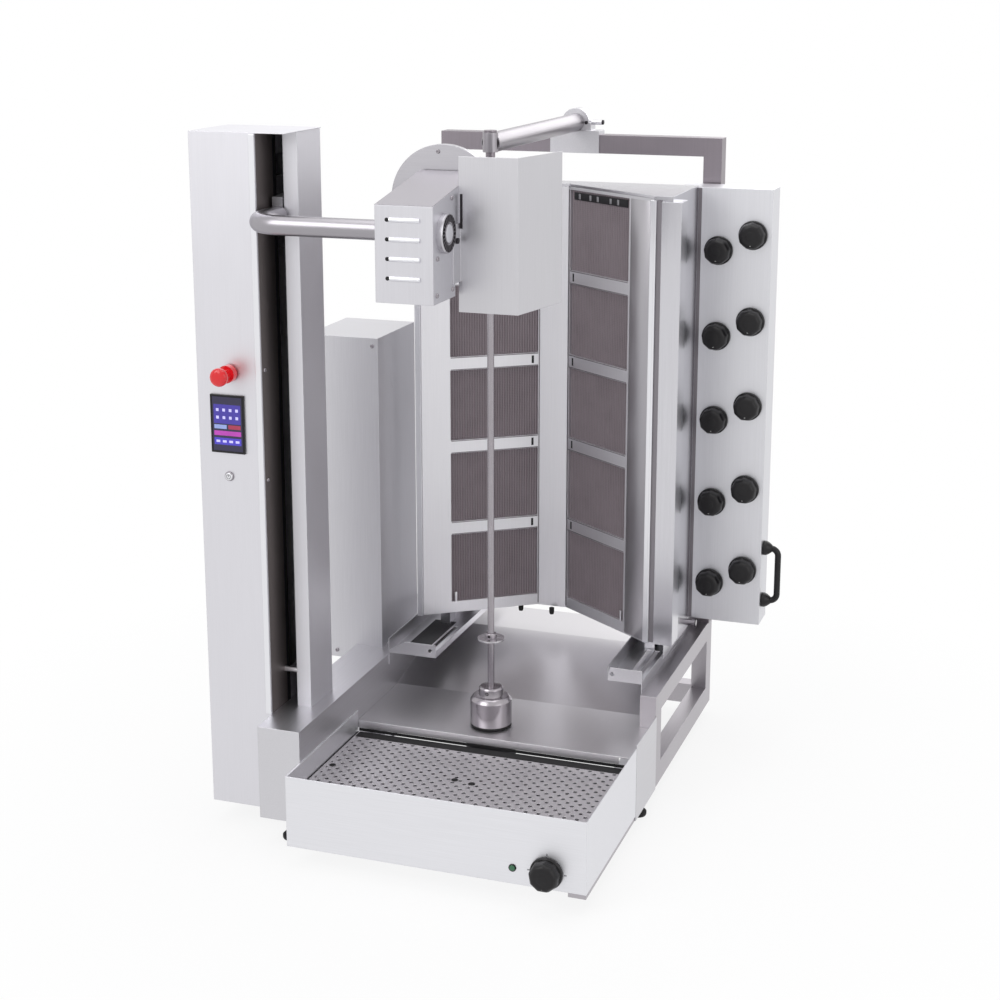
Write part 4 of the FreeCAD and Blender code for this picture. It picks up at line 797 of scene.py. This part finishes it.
# Spit.
# Ground bar in a turned drive hub, over a geared motor under the floor. The hub has a black
# seal at its foot, a bevelled skirt and a polished collar with a grub screw.
dress(ground_steel, "spit_rod")
hub_steel = brushed_stainless("turned_polished_hub", "#a49fa4", 0.24, "Z", 1.0, 0.02, 0.03)
disc_steel = brushed_stainless("pressed_stainless_disc", "#c9c6ca", 0.26, "X", 1.4, 0.03)
dress(disc_steel, "meat_disc")
SPIT = (-289, 364)
HUB_BASE = 107.5
hub = turned(spot(*SPIT, HUB_BASE), "z",
             [(35.5, 0), (35.5, 4), (37.3, 5), (37.3, 49), (33.6, 54.5), (30.5, 57),
              (22, 57.4), (22, 70.5), (19.6, 73.6), (7.4, 74.4)], 64, 0.25)
seal = turned(spot(*SPIT, HUB_BASE), "z", [(36.6, 0), (37.2, 1), (37.2, 3.4), (36.2, 4.2)],
              64, 0)
grub = turned(spot(SPIT[0], SPIT[1] - 21.4, HUB_BASE + 65.5), "-y",
              [(3, 0), (3, 1.2), (1.6, 1.2), (1.4, 0.2)], 16, 0)
join([coated(hub, hub_steel), coated(seal, black_rubber), coated(grub, black_oxide)])
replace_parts(settle("spit_drive_hub", hub_steel, "spit"), "drive_hub")
collar = turned(spot(*SPIT, 273), "z", [(10, 0), (10, 8), (9, 9), (6.4, 9)], 36, 0.3)
grub = turned(spot(SPIT[0], SPIT[1] - 9.8, 277.4), "-y",
              [(2.6, 0), (2.6, 2), (1.4, 2), (1.2, 0.6)], 16, 0)
join([coated(collar, hub_steel), coated(grub, black_oxide)])
settle("disc_collar", hub_steel, "spit")


# Burner cabinet.
# Folded satin housing with two slanted fronts, each with five windows, and a capping post
# where they meet. The side wall is polished brighter, so the black knobs mirror in it.
housing_steel = brushed_stainless("polished_burner_housing", "#cfced3", 0.24, "Z", 1.6, 0.03,
                                  0.04)
front_steel = brushed_stainless("satin_burner_front", "#dad9dd", 0.42, "Z", 1.6, 0.03)
dress(housing_steel, "burner_housing")
dress(front_steel, "burner_frames", "apex_post")
TIP_FRONT = 583
TIPS = {"left": -518, "right": -60}
SLANT = math.atan2(144.5, 201)
WINDOW_WIDTH = 175
WINDOW_START = 69
WINDOWS = [(235 + 162.6 * level, 136.6 if level < 4 else 151.6) for level in range(5)]


def on_burner(side, along, depth, level):
    """A place on a slanted front: along it from its outer tip, behind it, and its height."""
    sign = 1 if side == "left" else -1
    run, rise = math.cos(SLANT), math.sin(SLANT)
    return spot(TIPS[side] + sign * (along * run - depth * rise),
                TIP_FRONT + along * rise + depth * run, level)


def burner_turn(side):
    """The angle about Z that lays a piece on that slanted front."""
    return SLANT if side == "left" else -SLANT


# Burner nets.
# Heat resisting wire cloth, pleated for stiffness, over ceramic tiles. The red heat has
# stained it brown grey, and the pleats show as fine upright streaks, drawn at 5 mm.
def wire_cloth():
    """Woven wire that heat has browned, on the net's own UV map."""
    made, tree = new_material("heat_browned_wire_cloth")
    place = add_node(tree, "ShaderNodeTexCoord")
    pleat, weft = 5.0, 3.2
    grid = add_node(tree, "ShaderNodeMapping",
                    {"Scale": (WINDOW_WIDTH / pleat, 136.6 / weft, 1)},
                    {"Vector": place.outputs["UV"]})
    upright = add_node(tree, "ShaderNodeTexWave",
                       {"bands_direction": "X", "Scale": 0.314, "Distortion": 0.8,
                        "Detail": 2.0}, {"Vector": grid.outputs[0]})
    level = add_node(tree, "ShaderNodeTexWave",
                     {"bands_direction": "Y", "Scale": 0.314, "Distortion": 0.3},
                     {"Vector": grid.outputs[0]})
    stain = add_node(tree, "ShaderNodeTexNoise", {"Scale": 18.0, "Detail": 3.0},
                     {"Vector": place.outputs["Object"]})
    woven = add_node(tree, "ShaderNodeMath", {"operation": "MULTIPLY_ADD", 1: 0.35},
                     {0: level.outputs["Fac"], 2: upright.outputs["Fac"]})
    blotched = add_node(tree, "ShaderNodeMath", {"operation": "MULTIPLY_ADD", 1: 0.9},
                        {0: stain.outputs["Fac"], 2: woven.outputs[0]})
    ramp = add_node(tree, "ShaderNodeValToRGB", {}, {0: blotched.outputs[0]})
    ramp.color_ramp.elements[0].position = 0.25
    ramp.color_ramp.elements[0].color = hex_color("#5b5156")
    ramp.color_ramp.elements[1].position = 1.0
    ramp.color_ramp.elements[1].color = hex_color("#867c81")
    bump = add_node(tree, "ShaderNodeBump", {"Strength": 0.5, "Distance": 0.0006},
                    {"Height": woven.outputs[0]})
    finish_material(tree, {"Metallic": 0.25, "Roughness": 0.6},
                    {"Base Color": ramp.outputs["Color"], "Normal": bump.outputs["Normal"]})
    return made


ceramic, tree = new_material("cordierite_ceramic_tile")
place = add_node(tree, "ShaderNodeTexCoord")
pores = add_node(tree, "ShaderNodeTexVoronoi", {"Scale": 400.0},
                 {"Vector": place.outputs["Object"]})
tone = add_node(tree, "ShaderNodeValToRGB", {}, {0: pores.outputs["Distance"]})
tone.color_ramp.elements[0].color = hex_color("#3a3231")
tone.color_ramp.elements[1].color = hex_color("#8d8078")
finish_material(tree, {"Roughness": 0.85}, {"Base Color": tone.outputs["Color"]})
dress(ceramic, "ceramic_plaques")

browned_net = wire_cloth()
PLEATS = 70
NET_DEPTH = 5.5
nets = []
for side in TIPS:
    for level, height in WINDOWS:
        bpy.ops.mesh.primitive_grid_add(x_subdivisions=PLEATS, y_subdivisions=1, size=0.001)
        net = bpy.context.object
        net.scale = (WINDOW_WIDTH, height, 1)
        bpy.ops.object.transform_apply(scale=True)
        bpy.ops.object.mode_set(mode="EDIT")
        bpy.ops.mesh.select_mode(type="VERT")
        bpy.ops.mesh.select_all(action="DESELECT")
        cloth = bmesh.from_edit_mesh(net.data)
        step = WINDOW_WIDTH / 1000 / PLEATS
        for corner in cloth.verts:
            corner.select_set(round((corner.co.x + WINDOW_WIDTH / 2000) / step) % 2 == 1)
        bmesh.update_edit_mesh(net.data)
        bpy.ops.transform.translate(value=(0, 0, 0.0009))
        bpy.ops.object.mode_set(mode="OBJECT")
        net.rotation_euler = (math.pi / 2, 0, burner_turn(side))
        net.location = on_burner(side, WINDOW_START + WINDOW_WIDTH / 2, NET_DEPTH,
                                 level + height / 2)
        bpy.ops.object.transform_apply(location=True, rotation=True)
        nets.append(net)
join(nets)
settle("burner_nets", browned_net, "burner", 10)


# Burner trim.
# Each bar has a slot at its inner end, where its tab is hooked in, drawn black as painted shade,
# and each window has dark strips along its edges as painted shade. The top burners have a black
# row of air ports, black as painted shade in them. Hems drawn brighter as a painted highlight
# close the fronts' edges, a dark strip paints the shade in the groove beside the right hem, and
# a darker strip over the right front paints the shade on that facet.
def burner_box(side, along, depth, level, size):
    """A small rounded block on a slanted front, centred at the place, sizes in millimetres."""
    return block_at(on_burner(side, along, depth, level), size, min(size) * 0.3, 2,
                    (0, 0, burner_turn(side)))


WINDOW_MIDDLE = WINDOW_START + 88
FRONT_MIDDLE = 627
PORT_LEVEL = 1026
upper_windows = [(side, level) for side in TIPS for level, _ in WINDOWS[1:]]
join([burner_box(side, 233, 0.2, level - 13, (4.6, 0.8, 15)) for side, level in upper_windows])
settle("bar_slots", hole_shade_black, "burner")
# Black strip behind the air ports: painted shade in them.
ports = [coated(burner_box(side, WINDOW_MIDDLE, 4.2, PORT_LEVEL, (158, 2, 14)), hole_shade_black)
         for side in TIPS]
lugs = [coated(burner_box(side, WINDOW_MIDDLE + shift, 3.0, PORT_LEVEL, (5, 2, 10)), cast_alloy)
        for side in TIPS for shift in (-52, -30, 8, 30, 62)]
join([*ports, *lugs])
settle("air_port_rows", hole_shade_black, "burner")
join([burner_box(side, 78, 2.0, 243, (5, 3, 22)) for side in TIPS])
settle("tile_clips", front_steel, "burner")
# Hems in the brighter steel: painted highlight on the fronts' bent edges.
join([plain_block((x, 586, FRONT_MIDDLE), (11, 5.6, 826), 0.4) for x in (-512.5, -61.5)])
settle("burner_front_hem_highlights", bright_and_highlight_steel, "burner")
# Darker steel strips: painted shade in the groove beside the right hem and along the windows'
# edges.
edge_shade_steel = brushed_stainless("groove_and_edge_painted_shade", "#8b878c", 0.45, "Z", 1.6, 0.03)
plain_block((-51.2, 588.2, FRONT_MIDDLE), (9.4, 1.2, 826), 0.2)
settle("groove_shade_strip", edge_shade_steel, "burner")
# Darker sheet over the right front: painted shade on that facet.
right_front_shade_steel = brushed_stainless("right_front_painted_shade", "#b8b6ba", 0.4, "Z", 1.6, 0.03)
burner_box("right", 37, -0.15, FRONT_MIDDLE, (54, 0.5, 822))
settle("right_front_shade_strip", right_front_shade_steel, "burner")
edges = [burner_box(side, 247, 0.0, FRONT_MIDDLE, (4, 0.8, 820)) for side in TIPS]
for side, level in upper_windows:
    edges += [burner_box(side, WINDOW_MIDDLE, 0.1, level - below, (174, 0.6, 1.8))
              for below in (1.4, 24.6)]
join(edges)
settle("window_edge_shade", edge_shade_steel, "burner")
HOUSING_BACK = 775
screws("housing_back_screws", "y", "burner",
       [(x, HOUSING_BACK, z) for x in (-505, -289) for z in (240, 630, 1020)])
turned(spot(-350, 715, 213), "-z", [(5, 0), (5, 9), (4, 13), (2.6, 13.6)], 24, 0.3)
repeat([(64, 0, 0)])
settle("burner_stops", black_rubber, "burner")


# Gas knobs and control box.
# The box is a folded satin cover over valves and a manifold. Ten knobs are pushed on the valve
# stems, and screws hold the box at its back. The inlet has a hexagon for the gas hose's spanner.
panel_steel = brushed_stainless("satin_control_panel", "#dcdce0", 0.42, "Z", 1.6, 0.03)
dress(panel_steel, "control_box")
brass = brushed_stainless("machined_brass", "#c9a45c", 0.28, "Y", 1.0, 0.05)
dress(brass, "gas_manifold")
PANEL_FRONT = 774.7
PANEL_BACK = 840
for number in range(1, 11):
    node = "gas_knob_%d" % number
    x, z = middle_of(node)
    grip_knob("burner_knob_%d" % number, node, "valve_knob_%d" % number,
              (x, PANEL_FRONT, z), 27, 27.2)
# Grey strip in the corner between the side wall and the control panel: painted shade in that
# gap.
corner_shade_paint = moulded_plastic("panel_corner_painted_shade", "#7b767b", 0.6)
plain_block((-21.4, PANEL_FRONT, 624.5), (6.6, 0.8, 838), 0.2)
settle("panel_corner_shade_strip", corner_shade_paint, "burner")
screws("panel_back_screws", "y", "burner",
       [(x, PANEL_BACK, z) for x in (-44, 100) for z in (220, 625, 1030)])
INLET_X, INLET_Z = 48, 400
hexagon = turned(spot(INLET_X, PANEL_BACK, INLET_Z), "y", [(17, 0), (17, 8), (15.6, 9)],
                 6, 0.5)
# Black bore: painted shade inside the inlet.
bore = turned(spot(INLET_X, 872.2, INLET_Z), "y",
              [(10.4, 0), (10.4, 0.3), (8, 0.3), (7.4, -12)], 32, 0)
join([coated(hexagon, brass), coated(bore, hole_shade_black)])
settle("gas_inlet_hexagon", brass, "burner")


# Pull handle.
# Black moulded bow with thick tapered feet, bolted through the control box's side.
dress(black_plastic, "pull_handle")
turned(spot(115, 796.7, 249), "x", [(14, 0), (14, 6), (11.6, 11), (8.6, 15), (6.5, 17.5)], 40)
repeat([(0, 0, 105)])
settle("handle_flanges", black_plastic, "burner", 40)


# Burner rails and rollers.
# Two folded channels from the frame to the mast, with a plate across the front of each.
# Rollers on ground axles carry the cabinet, and black rubber rings keep them quiet.
dress(side_steel, "burner_rails")
dress(ground_steel, "roller_axle")
# Dark film on the left channel's floor under the cabinet: painted shade.
plain_block((-483, 556, 185.64), (44, 180, 0.24))
settle("rail_channel_shade_film", hole_shade_black, "base")
AXLE = (765, 197.5)
turned(spot(-7.2, *AXLE), "x", [(8.4, 0), (8.4, 1.0), (5.2, 1.2), (4.8, 0.4)], 32, 0)
settle("axle_end_ring", black_rubber, "rollers")
join([turned(spot(roller + side, *AXLE), "x",
             [(12.0, 0), (12.15, 1.2), (12.15, 3.6), (12.0, 4.8)], 40, 0.2)
      for roller in (-477.5, -63.8) for side in (-6.2, 1.4)])
settle("roller_tyres", black_rubber, "rollers")


# Mast, top arm and clamp.
# Welded box tube arch with a heat tinted tone. A clamp holds the top arm on its crossbar, and
# a headed pin of the same dark steel drops through the arm's boss to steady the spit.
mast_steel = brushed_stainless("heat_tinted_tube", "#8f888e", 0.36, "Z", 1.6, 0.04)
top_steel = brushed_stainless("drawn_top_tube", "#a39fa4", 0.36, "Y", 1.4, 0.03)
dress(mast_steel, "mast")
dress(top_steel, "top_arm")
dress(side_steel, "clamp_block")
dress(mast_steel, "top_pin")
TOP_ARM_LEVEL = 1152
front_bolt = turned(spot(-267, 854.8, TOP_ARM_LEVEL), "-y", [(3.4, 0), (3.4, 2.6), (2.8, 3.1)],
                    12, 0.2)
end_bolt = turned(spot(-240.4, 870.5, TOP_ARM_LEVEL), "x", [(5, 0), (5, 3.4), (4.4, 4)], 6, 0.2)
join([front_bolt, end_bolt])
settle("clamp_bolts", black_oxide, "base")
turned(spot(-289, 888, TOP_ARM_LEVEL), "y", [(16.8, -12), (16.8, -1.6), (15.6, -0.8)], 40, 0)
settle("top_arm_plug", black_plastic, "base")


# Electrical cabinet.
# Folded satin box behind the column. Its cover is screwed on, pressed louvres cool it at the
# back, and a black nylon gland with a hexagon and a domed nut holds the supply cable.
cabinet_steel = brushed_stainless("satin_cabinet_sheet", "#d3d2d6", 0.4, "Z", 1.6, 0.04)
dress(cabinet_steel, "electrical_cabinet")
CABINET_FRONT = 478
CABINET_BACK = 658
screws("cabinet_front_screws", "-y", "base",
       [(x, CABINET_FRONT, z) for x, z in ((-643, 165), (-680, 765), (-560, 765))], 0.9)
screws("cabinet_back_screws", "y", "base",
       [(x, CABINET_BACK, z) for x in (-680, -560) for z in (168, 470, 768)], 0.9)
louvre(spot(-620, CABINET_BACK - 0.2, 700), 5, 90, 1.6, faces_back=True)
repeat([(0, 0, -18 * row) for row in range(1, 7)])
settle("cabinet_louvres", cabinet_steel, "base", 50)
GLAND_X, GLAND_Z = -654, 230
join([turned(spot(GLAND_X, CABINET_BACK, GLAND_Z), "y", [(13, 0), (13, 7.4), (12, 8)], 6),
      turned(spot(GLAND_X, CABINET_BACK + 8, GLAND_Z), "y",
             [(10, 0), (10, 7), (8.8, 11.6), (7.2, 14), (6.1, 14), (6.0, 1)], 32, 0),
      turned(spot(GLAND_X, CABINET_BACK - 9, GLAND_Z), "y", [(7.9, 0), (7.9, 9)], 32, 0.2)])
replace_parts(settle("supply_cable_gland", black_plastic, "base", 35),
            "cable_gland")


# Motors.
# Cast housings under graphite enamel, for the lift, the blade and the spit. The spit's motor
# hangs under the floor plate and ends in a small blackened cap.
motor_paint = moulded_plastic("graphite_enamel", "#2c2e32", 0.5, 1.5)
dress(motor_paint, "lift_motor", "blade_motor", "spit_motor")
turned(spot(*SPIT, 37), "-z", [(14, 0), (14, 1.4), (12, 2.2)], 32, 0.3)
settle("spit_motor_cap", black_oxide, "base")

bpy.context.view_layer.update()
